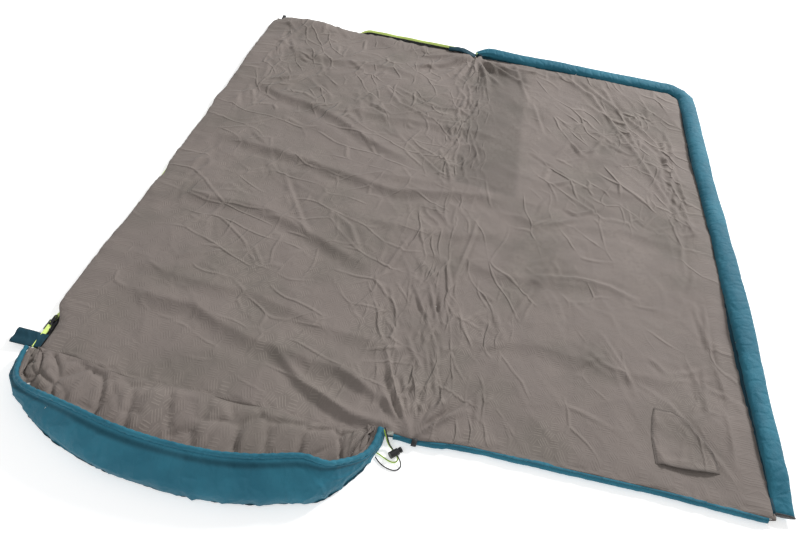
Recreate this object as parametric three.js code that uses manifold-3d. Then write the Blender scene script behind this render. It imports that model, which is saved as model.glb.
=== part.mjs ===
// Rectangular sleeping bag with a hood, unzipped and opened flat with the lining up.
// Millimetres, +Z up, +Y towards the foot. The fold between the two halves lies at x = 0.
// The bottom half, which carries the hood, is at x < 0 and the top half is at x > 0.
import * as THREE from "three";
import { mergeVertices } from "three/addons/utils/BufferGeometryUtils.js";
import Module from "manifold-3d";

const wasm = await Module();
wasm.setup();

// ---- Driving dimensions ------------------------------------------------------------
const HALF_WIDTH = 850; // fold to side seam
const LENGTH = 1850; // neck seam to foot seam
const LOFT = 27.6; // floor to the lining's upper face
const FABRIC = 1.2; // stand-in thickness of one fabric layer
const GAP = 0.3; // clearance between neighbouring pieces
const FOLD_GAP = 1.5; // from x = 0 to each half
const CORNER = 40; // foot corner radius of a half
const FOOT_REACH = 1925; // neck seam to the draft tube's outer side
const HOOD_REACH = 255; // neck seam to the front of the hood
const REACH = 925; // from x = 0 to the draft tube's outer side, and to the tab's tip
const NECK_Y = -(FOOT_REACH - HOOD_REACH) / 2; // the neck seam, with the origin at mid-length

// Draft tube
const TUBE_WIDTH = 72;
const TUBE_HEIGHT = 42;
const TUBE_LIFT = 8.5; // underside of the tube, above the zip
const TUBE_OFFSET = REACH - TUBE_WIDTH / 2 - HALF_WIDTH; // side seam to the tube's middle

// Hood
const HOOD_X = -448;
const HOOD_HALF = 428;
const HOOD_GAP = 3; // hood to the neck seam
const HOOD_POWER = 2.2; // superellipse power of the outline
const HOOD_WALL = 19.5; // batting of the hood's wall, measured level
const RIM_LOW = 28; // wall top beside the neck
const RIM_RISE = 68; // further rise of the wall top at the front
const TUNNEL_RADIUS = 6;
const TUNNEL_LIFT = 8; // wall top to the tunnel's middle
const RIM_START = 0.035; // radians along the outline, where the tunnel's ends are

// Drawcord and its lock
const CORD_RADIUS = 1.5;
const STRAND_LIFT = 1.7; // each strand's middle above or below the lock's middle
const LOCK_CENTRE = [12, -52, 8.3];
const LOCK_TURN = (44 * Math.PI) / 180; // the barrel's axis from +X

// Zip
const SIDE_SLIDER_Y = 77;
const FOOT_SLIDER_X = -170;
const ZIP_START = 4; // neck seam to the neck end of each strip
const ZIP_END = 16; // from the fold to the end of each zip chain
const GUARD_WIDTH = 22;
const COIL_NEAR = 7; // from the side seam to the coil
const COIL_FAR = 12;
const COIL_LOW = 4.3;
const COIL_TOP = 7.3;
const COIL_MIDDLE = (COIL_NEAR + COIL_FAR) / 2;
const SLIDER_HALF = 15; // half the slider's length
const PIVOT_LIFT = 11.6; // floor to the puller's hinge
const PIVOT_X = -6.5; // coil's middle to the middle of the puller's hinge

// Small sewn pieces, in x and y from the neck seam
const TAB = { root: -HALF_WIDTH - 3.5, tip: -REACH, near: 2, far: 46, low: 9.7, top: 11.7 };
const PATCH = { x0: 790, x1: 835, y0: 6, y1: 44 };
const BINDING = { x0: 12, x1: 848, front: -1.5, back: 22, low: 1.5 };
const POCKET = { x0: 600, x1: 770, mouth: 64, end: 222, depth: 8, seam: 6 };
const STUB = { x0: -135, x1: -16, out: 29, lift: 13.2, halfWidth: 26, halfHeight: 5 };

// ---- Materials ---------------------------------------------------------------------
const cloth = (color, roughness = 0.85) =>
  new THREE.MeshStandardMaterial({ color, roughness, metalness: 0 });
const teal = () => cloth(0x3c7387);
const darkTeal = () => cloth(0x2d5a69);
const taupe = () => cloth(0x8c827d);
const batting = () => cloth(0xe8e8e4, 0.95);
const lime = () => cloth(0xc8eb5a, 0.7);
const black = () => cloth(0x17181a, 0.6);
const steel = () => new THREE.MeshStandardMaterial({ color: 0xa8abad, roughness: 0.3, metalness: 1 });

// ---- Helpers -----------------------------------------------------------------------
const bag = new THREE.Group();
bag.position.set(0, NECK_Y, 0); // everything below is measured from the neck seam

function add(name, geometry, material, parent = bag) {
  const mesh = new THREE.Mesh(geometry, material);
  mesh.name = name;
  parent.add(mesh);
  return mesh;
}

function box(x0, x1, y0, y1, z0, z1) {
  const geometry = new THREE.BoxGeometry(x1 - x0, y1 - y0, z1 - z0);
  return geometry.translate((x0 + x1) / 2, (y0 + y1) / 2, (z0 + z1) / 2);
}

function solid(geometry) {
  const bare = geometry.clone();
  bare.deleteAttribute("normal");
  bare.deleteAttribute("uv");
  const places = bare.attributes.position.array;
  places.forEach((value, i) => {
    places[i] = Math.round(value * 1000) / 1000; // so that shared corners are exactly equal
  });
  const merged = mergeVertices(bare);
  const vertProperties = new Float32Array(merged.attributes.position.array);
  const triVerts = new Uint32Array(merged.index.array);
  return new wasm.Manifold(new wasm.Mesh({ numProp: 3, vertProperties, triVerts }));
}

function geometryOf(manifold) {
  const mesh = manifold.getMesh();
  const geometry = new THREE.BufferGeometry();
  geometry.setAttribute("position", new THREE.BufferAttribute(mesh.vertProperties, 3));
  geometry.setIndex(new THREE.BufferAttribute(mesh.triVerts, 1));
  geometry.computeVertexNormals();
  return geometry;
}

function cut(geometry, ...tools) {
  let left = solid(geometry);
  for (const tool of tools) {
    left = left.subtract(solid(tool));
  }
  return geometryOf(left);
}

function join(...geometries) {
  let whole = solid(geometries[0]);
  for (const geometry of geometries.slice(1)) {
    whole = whole.add(solid(geometry));
  }
  return geometryOf(whole);
}

// A closed solid through a row of convex rings that hold the same number of points.
function skin(rings) {
  const sides = rings[0].length;
  const points = rings.flat();
  const index = [];
  for (let r = 0; r < rings.length - 1; r += 1) {
    for (let s = 0; s < sides; s += 1) {
      const a = r * sides + s;
      const b = r * sides + ((s + 1) % sides);
      index.push(a, b, b + sides, a, b + sides, a + sides);
    }
  }
  const last = (rings.length - 1) * sides;
  for (let s = 1; s < sides - 1; s += 1) {
    index.push(0, s + 1, s);
    index.push(last, last + s, last + s + 1);
  }
  const geometry = new THREE.BufferGeometry().setFromPoints(points);
  geometry.setIndex(index);
  geometry.computeVertexNormals();
  return geometry;
}

// A round or flattened tube along a list of centres, its section kept level across.
function pipe(centres, halfWidth, halfHeight = halfWidth, sides = 8) {
  const up = new THREE.Vector3(0, 0, 1);
  const rings = centres.map((centre, i) => {
    const before = centres[Math.max(i - 1, 0)];
    const after = centres[Math.min(i + 1, centres.length - 1)];
    const along = after.clone().sub(before).normalize();
    const across = along.clone().cross(up).normalize();
    const lift = across.clone().cross(along);
    return Array.from({ length: sides }, (_, s) => {
      const turn = (2 * Math.PI * (s + 0.5)) / sides;
      const level = across.clone().multiplyScalar(halfWidth * Math.cos(turn));
      return centre.clone().add(level).addScaledVector(lift, halfHeight * Math.sin(turn));
    });
  });
  return skin(rings.map((ring) => ring.reverse()));
}

const vectors = (rows) => rows.map(([x, y, z]) => new THREE.Vector3(x, y, z));

function smooth(rows, steps) {
  return new THREE.CatmullRomCurve3(vectors(rows), false, "centripetal").getSpacedPoints(steps);
}

function extrude(shape, z0, z1, curveSegments = 6) {
  const options = { depth: z1 - z0, bevelEnabled: false, curveSegments };
  return new THREE.ExtrudeGeometry(shape, options).translate(0, 0, z0);
}

// ---- Quilted halves ----------------------------------------------------------------
// Outline of a half, drawn in by inset on its three sewn sides and by foldEdge at the fold.
function halfOutline(side, inset, foldEdge = FOLD_GAP) {
  const x = side * (HALF_WIDTH - inset);
  const y = LENGTH - inset;
  const radius = CORNER - inset;
  const shape = new THREE.Shape();
  shape.moveTo(side * foldEdge, inset);
  shape.lineTo(x, inset);
  shape.lineTo(x, y - radius);
  const from = side > 0 ? 0 : Math.PI;
  shape.absarc(x - side * radius, y - radius, radius, from, Math.PI / 2, side < 0);
  shape.lineTo(side * foldEdge, y);
  shape.closePath();
  return shape;
}

const WALL_TOP = LOFT - FABRIC - GAP;

function addHalf(name, side, shellHoles = []) {
  const tray = extrude(halfOutline(side, 0), 0, WALL_TOP);
  const hollow = extrude(halfOutline(side, FABRIC, -FOLD_GAP), FABRIC, LOFT);
  add(`${name}_shell`, cut(tray, hollow, ...shellHoles), teal());
  const fillOutline = halfOutline(side, FABRIC + GAP, FOLD_GAP + GAP);
  add(`${name}_fill`, extrude(fillOutline, FABRIC + GAP, WALL_TOP), batting());
  add(`${name}_lining`, extrude(halfOutline(side, 0), LOFT - FABRIC, LOFT), taupe());
}

// ---- Edge strips that run down the side and across the foot ------------------------
// near and far are measured outwards from the side seam, and start and end are the strip's
// ends: y at the neck and distance from the fold at the foot.
function edgeStrip(side, near, far, start, end, z0, z1) {
  const centreX = side * (HALF_WIDTH - CORNER);
  const centreY = LENGTH - CORNER;
  const from = side > 0 ? 0 : Math.PI;
  const shape = new THREE.Shape();
  shape.moveTo(side * (HALF_WIDTH + far), start);
  shape.lineTo(side * (HALF_WIDTH + far), centreY);
  shape.absarc(centreX, centreY, CORNER + far, from, Math.PI / 2, side < 0);
  shape.lineTo(side * end, LENGTH + far);
  shape.lineTo(side * end, LENGTH + near);
  shape.lineTo(centreX, LENGTH + near);
  shape.absarc(centreX, centreY, CORNER + near, Math.PI / 2, from, side > 0);
  shape.lineTo(side * (HALF_WIDTH + near), start);
  shape.closePath();
  return extrude(shape, z0, z1);
}

function addZip(name, side) {
  const strip = (near, far, low, top) => edgeStrip(side, near, far, ZIP_START, ZIP_END, low, top);
  add(`${name}_zip_guard`, strip(GAP, GUARD_WIDTH, 0.6, 1.6), lime());
  add(`${name}_zip_tape`, strip(GAP, COIL_FAR, 3.2, 4), black());
  add(`${name}_zip_coil`, strip(COIL_NEAR, COIL_FAR, COIL_LOW, COIL_TOP), black());
}

// ---- Draft tube --------------------------------------------------------------------
// Centres of the tube from its neck end, round the foot corner, to its fold end.
function tubeRoute(start, end) {
  const z = TUBE_LIFT + TUBE_HEIGHT / 2;
  const x = HALF_WIDTH - CORNER;
  const y = LENGTH - CORNER;
  const radius = CORNER + TUBE_OFFSET;
  const route = [new THREE.Vector3(x + radius, start, z)];
  const cornerSteps = 6;
  for (let i = 0; i <= cornerSteps; i += 1) {
    const turn = ((Math.PI / 2) * i) / cornerSteps;
    route.push(new THREE.Vector3(x + radius * Math.cos(turn), y + radius * Math.sin(turn), z));
  }
  route.push(new THREE.Vector3(end, y + radius, z));
  return route;
}

function addDraftTube() {
  const sides = 16;
  const half = [TUBE_WIDTH / 2, TUBE_HEIGHT / 2];
  const layer = (inset, start, end) =>
    pipe(tubeRoute(start, end), half[0] - inset, half[1] - inset, sides);
  const cover = cut(layer(0, 1, ZIP_END), layer(FABRIC, -10, 0));
  add("draft_tube_cover", cover, teal());
  add("draft_tube_fill", layer(FABRIC + GAP, 6, ZIP_END + 5), batting());
  const endRoute = [tubeRoute(-2, ZIP_END)[0], tubeRoute(1 - GAP, ZIP_END)[0]];
  add("draft_tube_end_binding", pipe(endRoute, half[0], half[1], sides), black());
}

// ---- Hood --------------------------------------------------------------------------
const rise = (t) => t * t * (3 - 2 * t);
const wallTop = (depth) => RIM_LOW + RIM_RISE * rise(Math.min(Math.max((depth - 45) / 180, 0), 1));

// How far the hood's outer face stands in from its widest outline at a height. The curve is
// followed by flat facets between the levels, which every layer of the wall shares.
const HOOD_LEVELS = [-4, 8, 20, 32, 44, 56, 68, 80, 92, 108];

function curvedInset(z) {
  const belly = 32;
  if (z < belly) {
    return 8 * ((belly - z) / belly) ** 2;
  }
  return 45 * ((z - belly) / 64) ** 1.6;
}

function hoodInset(z) {
  const upper = HOOD_LEVELS.findIndex((level, i) => i > 0 && z <= level);
  const [low, high] = [HOOD_LEVELS[upper - 1], HOOD_LEVELS[upper]];
  return THREE.MathUtils.mapLinear(z, low, high, curvedInset(low), curvedInset(high));
}

function hoodPoint(angle, inset, z) {
  const power = 2 / HOOD_POWER;
  const across = Math.sign(Math.cos(angle)) * Math.abs(Math.cos(angle)) ** power;
  const depth = (HOOD_REACH - HOOD_GAP - inset) * Math.abs(Math.sin(angle)) ** power;
  return new THREE.Vector3(HOOD_X + (HOOD_HALF - inset) * across, -HOOD_GAP - depth, z);
}

// Angles along the outline, closer together where it turns in at both ends.
function hoodAngles(count, trim = 0) {
  const span = Math.PI - 2 * trim;
  return Array.from({ length: count + 1 }, (_, i) => trim + (span * (rise(i / count) + i / count)) / 2);
}

function hoodRing(inset, z, neckShift = 0) {
  const ring = hoodAngles(26).map((angle) => hoodPoint(angle, inset, z));
  if (neckShift) {
    ring.unshift(ring[0].clone().setY(neckShift));
    ring.push(ring[ring.length - 1].clone().setY(neckShift));
  }
  return ring.reverse();
}

function hoodLoft(thickness, z0, z1, neckShift = 0) {
  const between = HOOD_LEVELS.filter((level) => level > z0 && level < z1);
  return skin([z0, ...between, z1].map((z) => hoodRing(hoodInset(z) + thickness, z, neckShift)));
}

// Everything above the wall's top edge, which rises from the neck to the hood's front.
function aboveRim(lower = 0) {
  const shape = new THREE.Shape();
  const steps = 12;
  shape.moveTo(-20, wallTop(0) - lower);
  for (let i = 0; i <= steps; i += 1) {
    const depth = 45 + (180 * i) / steps;
    shape.lineTo(depth, wallTop(depth) - lower);
  }
  shape.lineTo(400, wallTop(400) - lower);
  shape.lineTo(400, 200);
  shape.lineTo(-20, 200);
  shape.closePath();
  const length = 1000;
  const prism = new THREE.ExtrudeGeometry(shape, { depth: length, bevelEnabled: false });
  return prism.rotateX(Math.PI / 2).rotateZ(-Math.PI / 2).translate(HOOD_X + length / 2, 0, 0);
}

function hoodWallLayer(from, to, z0, z1) {
  const outer = hoodLoft(from, z0, z1);
  const inner = hoodLoft(to, z0 - 2, z1 + 2, 20);
  return cut(outer, inner, aboveRim());
}

function hoodRimRoute(lift) {
  return hoodAngles(46, RIM_START).map((angle) => {
    const probe = hoodPoint(angle, 0, 0);
    const top = wallTop(-probe.y - 6);
    return hoodPoint(angle, hoodInset(top) + 11, top + lift);
  });
}

function addHood() {
  const top = 104;
  const fillStart = FABRIC + GAP;
  const fillEnd = fillStart + HOOD_WALL;
  const liningEnd = fillEnd + GAP + FABRIC;
  const baseInset = liningEnd + GAP + hoodInset(0);
  add("hood_base_shell", extrudeRing(hoodInset(0), 0, FABRIC), teal());
  add("hood_base_fill", extrudeRing(baseInset, fillStart, WALL_TOP), batting());
  add("hood_base_lining", extrudeRing(baseInset, LOFT - FABRIC, LOFT), taupe());
  add("hood_wall_shell", hoodWallLayer(0, FABRIC, fillStart, top), teal());
  add("hood_wall_fill", hoodWallLayer(fillStart, fillEnd, fillStart, top), batting());
  add("hood_wall_lining", hoodWallLayer(fillEnd + GAP, liningEnd, LOFT + GAP, top), taupe());
  const piping = hoodAngles(40, RIM_START).map((angle) => hoodPoint(angle, 4.7, 2.1));
  add("hood_piping", pipe(piping, 1.5), darkTeal());
  const rim = hoodRimRoute(TUNNEL_LIFT);
  const tunnel = pipe(rim, TUNNEL_RADIUS, TUNNEL_RADIUS, 10);
  const firstStep = rim[0].clone().sub(rim[1]).setLength(4);
  const lastStep = rim[rim.length - 1].clone().sub(rim[rim.length - 2]).setLength(4);
  const through = [rim[0].clone().add(firstStep), ...rim, rim[rim.length - 1].clone().add(lastStep)];
  add("hood_rim_tunnel", cut(tunnel, pipe(through, TUNNEL_RADIUS - 1.4, TUNNEL_RADIUS - 1.4, 10)), teal());
  add("hood_drawcord", pipe(rim, CORD_RADIUS), black());
}

function extrudeRing(inset, z0, z1) {
  return skin([hoodRing(inset, z0), hoodRing(inset, z1)]);
}

// ---- Drawcord outside the hood -----------------------------------------------------
// Both strands leave the tunnel's end by the fold, pass the cord lock side by side and
// lie in a loop on the floor. The black strand is the loop, the lime one its return.
const LOOP_ROUTE = [
  [-22.4, -13.6, 41],
  [-17.5, -19.4, 35.4],
  [-12.4, -25.6, 26],
  [-7.6, -31.4, 16],
  [-3.3, -36.2, 10.6],
  [2.3, -41.9, 10],
  [7.1, -46.9, 10],
  [12, -52, 10],
  [16.9, -57, 10],
  [22.6, -63, 8.6],
  [28, -70, 5],
  [30, -78.5, 2.6],
  [26, -86.5, 2],
  [16, -91, 1.9],
  [4, -90, 1.9],
  [-9, -85.5, 1.9],
  [-20, -78, 1.9],
  [-29, -69, 2.3],
];
const TAIL_ROUTE = [
  [-22.4, -17.6, 36.4],
  [-18.6, -22.4, 30],
  [-13.8, -27.6, 21],
  [-8.8, -32.6, 12],
  [-3.6, -36.8, 7.2],
  [2.3, -41.9, 6.6],
  [7.1, -46.9, 6.6],
  [12, -52, 6.6],
  [16.9, -57, 6.6],
  [20.4, -62, 4.6],
  [20, -68, 2.6],
  [14, -72, 1.9],
  [4, -71.6, 1.9],
  [-8, -67, 1.9],
  [-19, -61.8, 1.9],
  [-28.4, -58.4, 2.4],
];

function addLooseCord() {
  add("drawcord_loop", pipe(smooth(LOOP_ROUTE, 44), CORD_RADIUS), black());
  add("drawcord_tail", pipe(smooth(TAIL_ROUTE, 36), CORD_RADIUS), lime());
}

// ---- Cord lock, built along its own X axis -----------------------------------------
function alongX(radius, x0, x1, sides = 20) {
  const rod = new THREE.CylinderGeometry(radius, radius, x1 - x0, sides);
  return rod.rotateZ(Math.PI / 2).translate((x0 + x1) / 2, 0, 0);
}

function addCordLock() {
  const lock = new THREE.Group();
  lock.position.set(...LOCK_CENTRE);
  lock.rotation.z = LOCK_TURN;
  bag.add(lock);
  const floor = -11; // bottom of the bore
  const mouth = 8;
  const press = 4; // the button's travel
  const barrelRadius = 8;
  const boreRadius = 5.6;
  const stemRadius = 5.2;
  const coilRadius = 3.4;
  const slotHalf = CORD_RADIUS + 0.5;
  const slotHeight = STRAND_LIFT + CORD_RADIUS + 0.7;
  const strandSlot = box(-slotHalf, slotHalf, -20, 20, -slotHeight, slotHeight);
  const bore = alongX(boreRadius, floor, mouth + 1);
  add("lock_body", cut(alongX(barrelRadius, floor - 2.5, mouth), bore, strandSlot), black(), lock);
  const stemEnd = -slotHalf - 1.6;
  const stem = alongX(stemRadius, stemEnd, mouth + press + 1);
  const stemSlot = box(-slotHalf, slotHalf + press, -20, 20, -slotHeight, slotHeight);
  const head = alongX(6.6, mouth + press + 0.6, mouth + press + 5);
  add("lock_plunger", cut(join(stem, head), stemSlot), black(), lock);
  const turns = 3.5;
  const wire = 0.45;
  const from = floor + GAP + wire;
  const to = stemEnd - GAP - wire;
  const steps = 28;
  const helix = Array.from({ length: steps + 1 }, (_, i) => {
    const turn = (turns * 2 * Math.PI * i) / steps;
    const x = from + ((to - from) * i) / steps;
    return new THREE.Vector3(x, coilRadius * Math.cos(turn), coilRadius * Math.sin(turn));
  });
  const curve = new THREE.CatmullRomCurve3(helix);
  const section = new THREE.Shape().absarc(0, 0, wire, 0, 2 * Math.PI);
  const options = { steps: 2 * steps, curveSegments: 3, extrudePath: curve, bevelEnabled: false };
  add("lock_spring", new THREE.ExtrudeGeometry(section, options), steel(), lock);
}

// ---- Zip sliders -------------------------------------------------------------------
// Built for a coil that runs along the slider's Y axis, with the free side at -X.
function sliderGeometry() {
  const low = 1.9;
  const lowTop = low + 1; // upper face of the plate under the coil
  const topLow = COIL_TOP + GAP;
  const topHigh = topLow + 1.4;
  const outer = -17;
  const inner = 4;
  const flange = 1.4;
  const slab = (x0, x1, z0, z1) => box(x0, x1, -SLIDER_HALF, SLIDER_HALF, z0, z1);
  const bottom = slab(outer, inner, low, lowTop);
  const top = slab(outer, inner, topLow, topHigh);
  const bridge = box(-5.6, -3.4, -6, 6, low, topHigh);
  const outerLow = slab(outer, outer + flange, low, lowTop + 0.9);
  const outerHigh = slab(outer, outer + flange, topLow - 2, topHigh);
  const innerWall = slab(inner - 1, inner, COIL_LOW, topHigh);
  const lug = (x) => box(x, x + flange, -3, 3, topHigh - 0.5, PIVOT_LIFT + 2.2);
  const pinShape = new THREE.CylinderGeometry(0.9, 0.9, 7, 10);
  const pin = pinShape.rotateZ(Math.PI / 2).translate(PIVOT_X, 0, PIVOT_LIFT);
  return join(bottom, top, bridge, outerLow, outerHigh, innerWall, lug(-11), lug(-3.4), pin);
}

function pullerGeometry() {
  const neck = 2.9; // half the width between the slider's lugs
  const grip = 4.5; // half the width further out
  const gripEnd = 25;
  const back = -1.6;
  const halfPlate = 1.1;
  const outline = new THREE.Shape();
  outline.moveTo(-neck, back);
  outline.lineTo(-neck, 6);
  outline.lineTo(-grip, 10);
  outline.lineTo(-grip, gripEnd);
  outline.absarc(0, gripEnd, grip, Math.PI, 0, true);
  outline.lineTo(grip, 10);
  outline.lineTo(neck, 6);
  outline.lineTo(neck, back);
  outline.closePath();
  const plate = extrude(outline, -halfPlate, halfPlate);
  const hole = new THREE.CylinderGeometry(2.2, 2.2, 10, 14);
  hole.rotateX(Math.PI / 2).translate(0, gripEnd - 1.5, 0);
  const eye = new THREE.CylinderGeometry(2.2, 2.2, 2 * neck, 12).rotateZ(Math.PI / 2);
  const bore = new THREE.CylinderGeometry(1.25, 1.25, 20, 12).rotateZ(Math.PI / 2);
  return cut(join(plate, eye), bore, hole).translate(PIVOT_X, 0, PIVOT_LIFT);
}

function addSlider(name, x, y, turn) {
  const slider = new THREE.Group();
  slider.position.set(x, y, 0);
  slider.rotation.z = turn;
  bag.add(slider);
  add(`${name}_slider_body`, sliderGeometry(), steel(), slider);
  add(`${name}_slider_puller`, pullerGeometry(), black(), slider);
}

// ---- Small sewn pieces -------------------------------------------------------------
function addTab() {
  const { root, tip, near, far, low, top } = TAB;
  const outline = new THREE.Shape();
  outline.moveTo(root, near + 4);
  outline.lineTo(tip + 8, near);
  outline.lineTo(tip, far - 6);
  outline.lineTo(tip + 4, far);
  outline.lineTo(root, far);
  outline.closePath();
  add("neck_tab", extrude(outline, low, top), teal());
  const hookPatch = box(tip + 10, tip + 43, near + 6, far - 6, low - 1.5, low - GAP);
  add("tab_hook_patch", hookPatch, black());
}

function addLoopPatch() {
  add("tab_loop_patch", box(PATCH.x0, PATCH.x1, PATCH.y0, PATCH.y1, 0, FABRIC), black());
}

function addHangingLoop() {
  const x0 = -842;
  const x1 = -830;
  const reach = 28;
  const low = 12;
  const top = 20.4;
  const webbing = 1.4;
  const outer = box(x0, x1, LENGTH + GAP, LENGTH + reach, low, top);
  const slot = box(x0 - 5, x1 + 5, LENGTH + 4, LENGTH + reach - 1.6, low + webbing, top - webbing);
  add("corner_hanging_loop", cut(outer, slot), black());
}

function addFoldEndPieces() {
  const { x0, x1, out, lift, halfWidth, halfHeight } = STUB;
  const route = vectors([
    [x0, LENGTH + out, lift],
    [x1, LENGTH + out, lift],
  ]);
  add("draft_tube_stub", pipe(route, halfWidth, halfHeight, 12), darkTeal());
  const stop = box(-ZIP_END + 0.4, -7, LENGTH + 4, LENGTH + 15, 2.6, 9);
  add("zip_bottom_stop", stop, black());
}

function addNeckTrim() {
  const { x0, x1, front, back, low } = BINDING;
  const top = LOFT + GAP + FABRIC;
  const lip = box(x0, x1, front, back, LOFT + GAP, top);
  const face = box(x0, x1, front, -GAP, low, top);
  add("top_neck_binding", join(lip, face), teal());
  add("neck_edge_tab", box(44, 56, -12, front - GAP, 16, 19), black());
}

// Patch pocket: a shallow tray sewn down on three sides with its mouth towards the neck.
function addPocket() {
  const { x0, x1, mouth, end, depth, seam } = POCKET;
  const outline = (inset, start) => {
    const shape = new THREE.Shape();
    shape.moveTo(x0 + inset, start);
    shape.lineTo(x1 - inset, start);
    shape.lineTo(x1 - 40 - inset, end - 72);
    shape.quadraticCurveTo(x1 - 58 - inset, end - inset, x0 + 40, end - inset);
    shape.lineTo(x0 + inset, end - inset);
    shape.closePath();
    return shape;
  };
  const low = LOFT + GAP;
  const tray = extrude(outline(0, mouth), low, low + depth);
  const hollow = extrude(outline(seam, 0), low - 5, low + depth - FABRIC);
  add("pocket_panel", cut(tray, hollow), taupe());
}

// ---- Assembly ----------------------------------------------------------------------
const PATCH_ROOM = 0.5; // between the loop patch and the shell round it
const patchHole = box(
  PATCH.x0 - PATCH_ROOM,
  PATCH.x1 + PATCH_ROOM,
  PATCH.y0 - PATCH_ROOM,
  PATCH.y1 + PATCH_ROOM,
  -5,
  FABRIC + 5,
);
addHalf("bottom", -1);
addHalf("top", 1, [patchHole]);
addLoopPatch();
addZip("bottom", -1);
addZip("top", 1);
addDraftTube();
addHood();
addLooseCord();
addCordLock();
addSlider("side", -HALF_WIDTH - COIL_MIDDLE, SIDE_SLIDER_Y, 0);
addSlider("foot", FOOT_SLIDER_X, LENGTH + COIL_MIDDLE, -Math.PI / 2);
addTab();
addHangingLoop();
addFoldEndPieces();
addNeckTrim();
addPocket();

export default bag;
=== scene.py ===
import math

import bpy
import numpy as np
from mathutils import Euler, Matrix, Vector


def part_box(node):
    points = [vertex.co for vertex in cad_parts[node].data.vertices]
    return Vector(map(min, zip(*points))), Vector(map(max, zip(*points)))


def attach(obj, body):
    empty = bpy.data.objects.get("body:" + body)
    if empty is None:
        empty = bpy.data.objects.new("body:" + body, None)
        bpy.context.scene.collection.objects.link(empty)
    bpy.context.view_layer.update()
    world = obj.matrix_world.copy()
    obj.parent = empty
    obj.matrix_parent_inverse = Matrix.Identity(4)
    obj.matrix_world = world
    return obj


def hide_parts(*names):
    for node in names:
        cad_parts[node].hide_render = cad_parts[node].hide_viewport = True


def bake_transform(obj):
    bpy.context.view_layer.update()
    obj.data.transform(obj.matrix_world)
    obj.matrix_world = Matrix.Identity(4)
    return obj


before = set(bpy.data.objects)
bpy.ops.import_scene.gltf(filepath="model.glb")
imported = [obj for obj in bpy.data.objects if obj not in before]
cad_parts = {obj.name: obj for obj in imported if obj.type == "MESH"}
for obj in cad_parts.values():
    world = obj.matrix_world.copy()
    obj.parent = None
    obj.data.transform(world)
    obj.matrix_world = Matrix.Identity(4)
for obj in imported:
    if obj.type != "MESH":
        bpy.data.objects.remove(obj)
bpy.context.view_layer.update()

# Shapes are worked out in millimetres from the middle of the neck seam, like the CAD part:
# x < 0 is the bottom half with the hood, x > 0 the top half. to_frame() gives the shared frame.
MM = 0.001
NECK_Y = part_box("bottom_lining")[0].y
HALF_WIDTH = round(-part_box("bottom_lining")[0].x / MM)
LENGTH = round((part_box("bottom_lining")[1].y - NECK_Y) / MM)
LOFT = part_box("bottom_lining")[1].z / MM
CORNER = 40
SEAM_LIFT = 4.5  # height of the side and foot seams


def to_frame(points):
    return np.asarray(points, float) * MM + np.array([0, NECK_Y, 0])


def put_in_scene(name, data):
    thing = bpy.data.objects.new(name, data)
    bpy.context.scene.collection.objects.link(thing)
    return thing


# ---- Camera --------------------------------------------------------------------------
camera = put_in_scene("camera", bpy.data.cameras.new("camera"))
camera.data.sensor_width = 36
camera.data.lens = 29.97
camera.location = (-0.001, -1.658, 1.341)
camera.rotation_euler = Euler([math.radians(a) for a in (45.04, -6.97, 10.37)])
bpy.context.scene.camera = camera


# ---- Noise and creases ---------------------------------------------------------------
def lattice(ix, iy, seed):
    n = (ix.astype(np.int64) * 374761393 + iy.astype(np.int64) * 668265263 + seed * 974634777) & 0xFFFFFFFF
    n = ((n ^ (n >> 13)) * 1274126177) & 0xFFFFFFFF
    return ((n ^ (n >> 16)) & 0xFFFFFFFF) / 0xFFFFFFFF


def noise(x, y, size, seed):
    """Smooth noise from -1 to 1 with patches about size across."""
    turn = 0.7 * seed + 0.4
    u = (x * math.cos(turn) - y * math.sin(turn)) / size
    v = (x * math.sin(turn) + y * math.cos(turn)) / size
    u, v = np.broadcast_arrays(u, v)
    iu, iv = np.floor(u), np.floor(v)
    fu, fv = ((f * f * f * (f * (6 * f - 15) + 10)) for f in (u - iu, v - iv))
    a, b = lattice(iu, iv, seed), lattice(iu + 1, iv, seed)
    c, d = lattice(iu, iv + 1, seed), lattice(iu + 1, iv + 1, seed)
    return 2 * (a + (b - a) * fu + (c - a) * fv + (a - b - c + d) * fu * fv) - 1


def wave(x, size, seed):
    """Smooth noise along one direction."""
    return noise(x, 0 * x, size, seed)


def crumple(x, y, size, seed):
    """Creased noise from 0 to 1, sharp along its crests."""
    u = x + 0.4 * size * noise(x, y, size, seed + 1)
    v = y + 0.4 * size * noise(x, y, size, seed + 2)
    return 1 - np.abs(noise(u, v, size, seed))


def smooth(t):
    t = np.clip(t, 0, 1)
    return t * t * (3 - 2 * t)


def bump(x, place, width):
    """1 at a place, fading out over width to either side."""
    return np.exp(-(((x - place) / width) ** 2))


def unit(vectors):
    """Vectors of length 1 with the same directions."""
    return vectors / np.maximum(np.linalg.norm(vectors, axis=-1, keepdims=True), 1e-9)


def sample(marks, run, points):
    """Points at the marks of a path, whose own points lie at the distances in run."""
    return np.stack([np.interp(marks, run, column) for column in points.T], -1)


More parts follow.
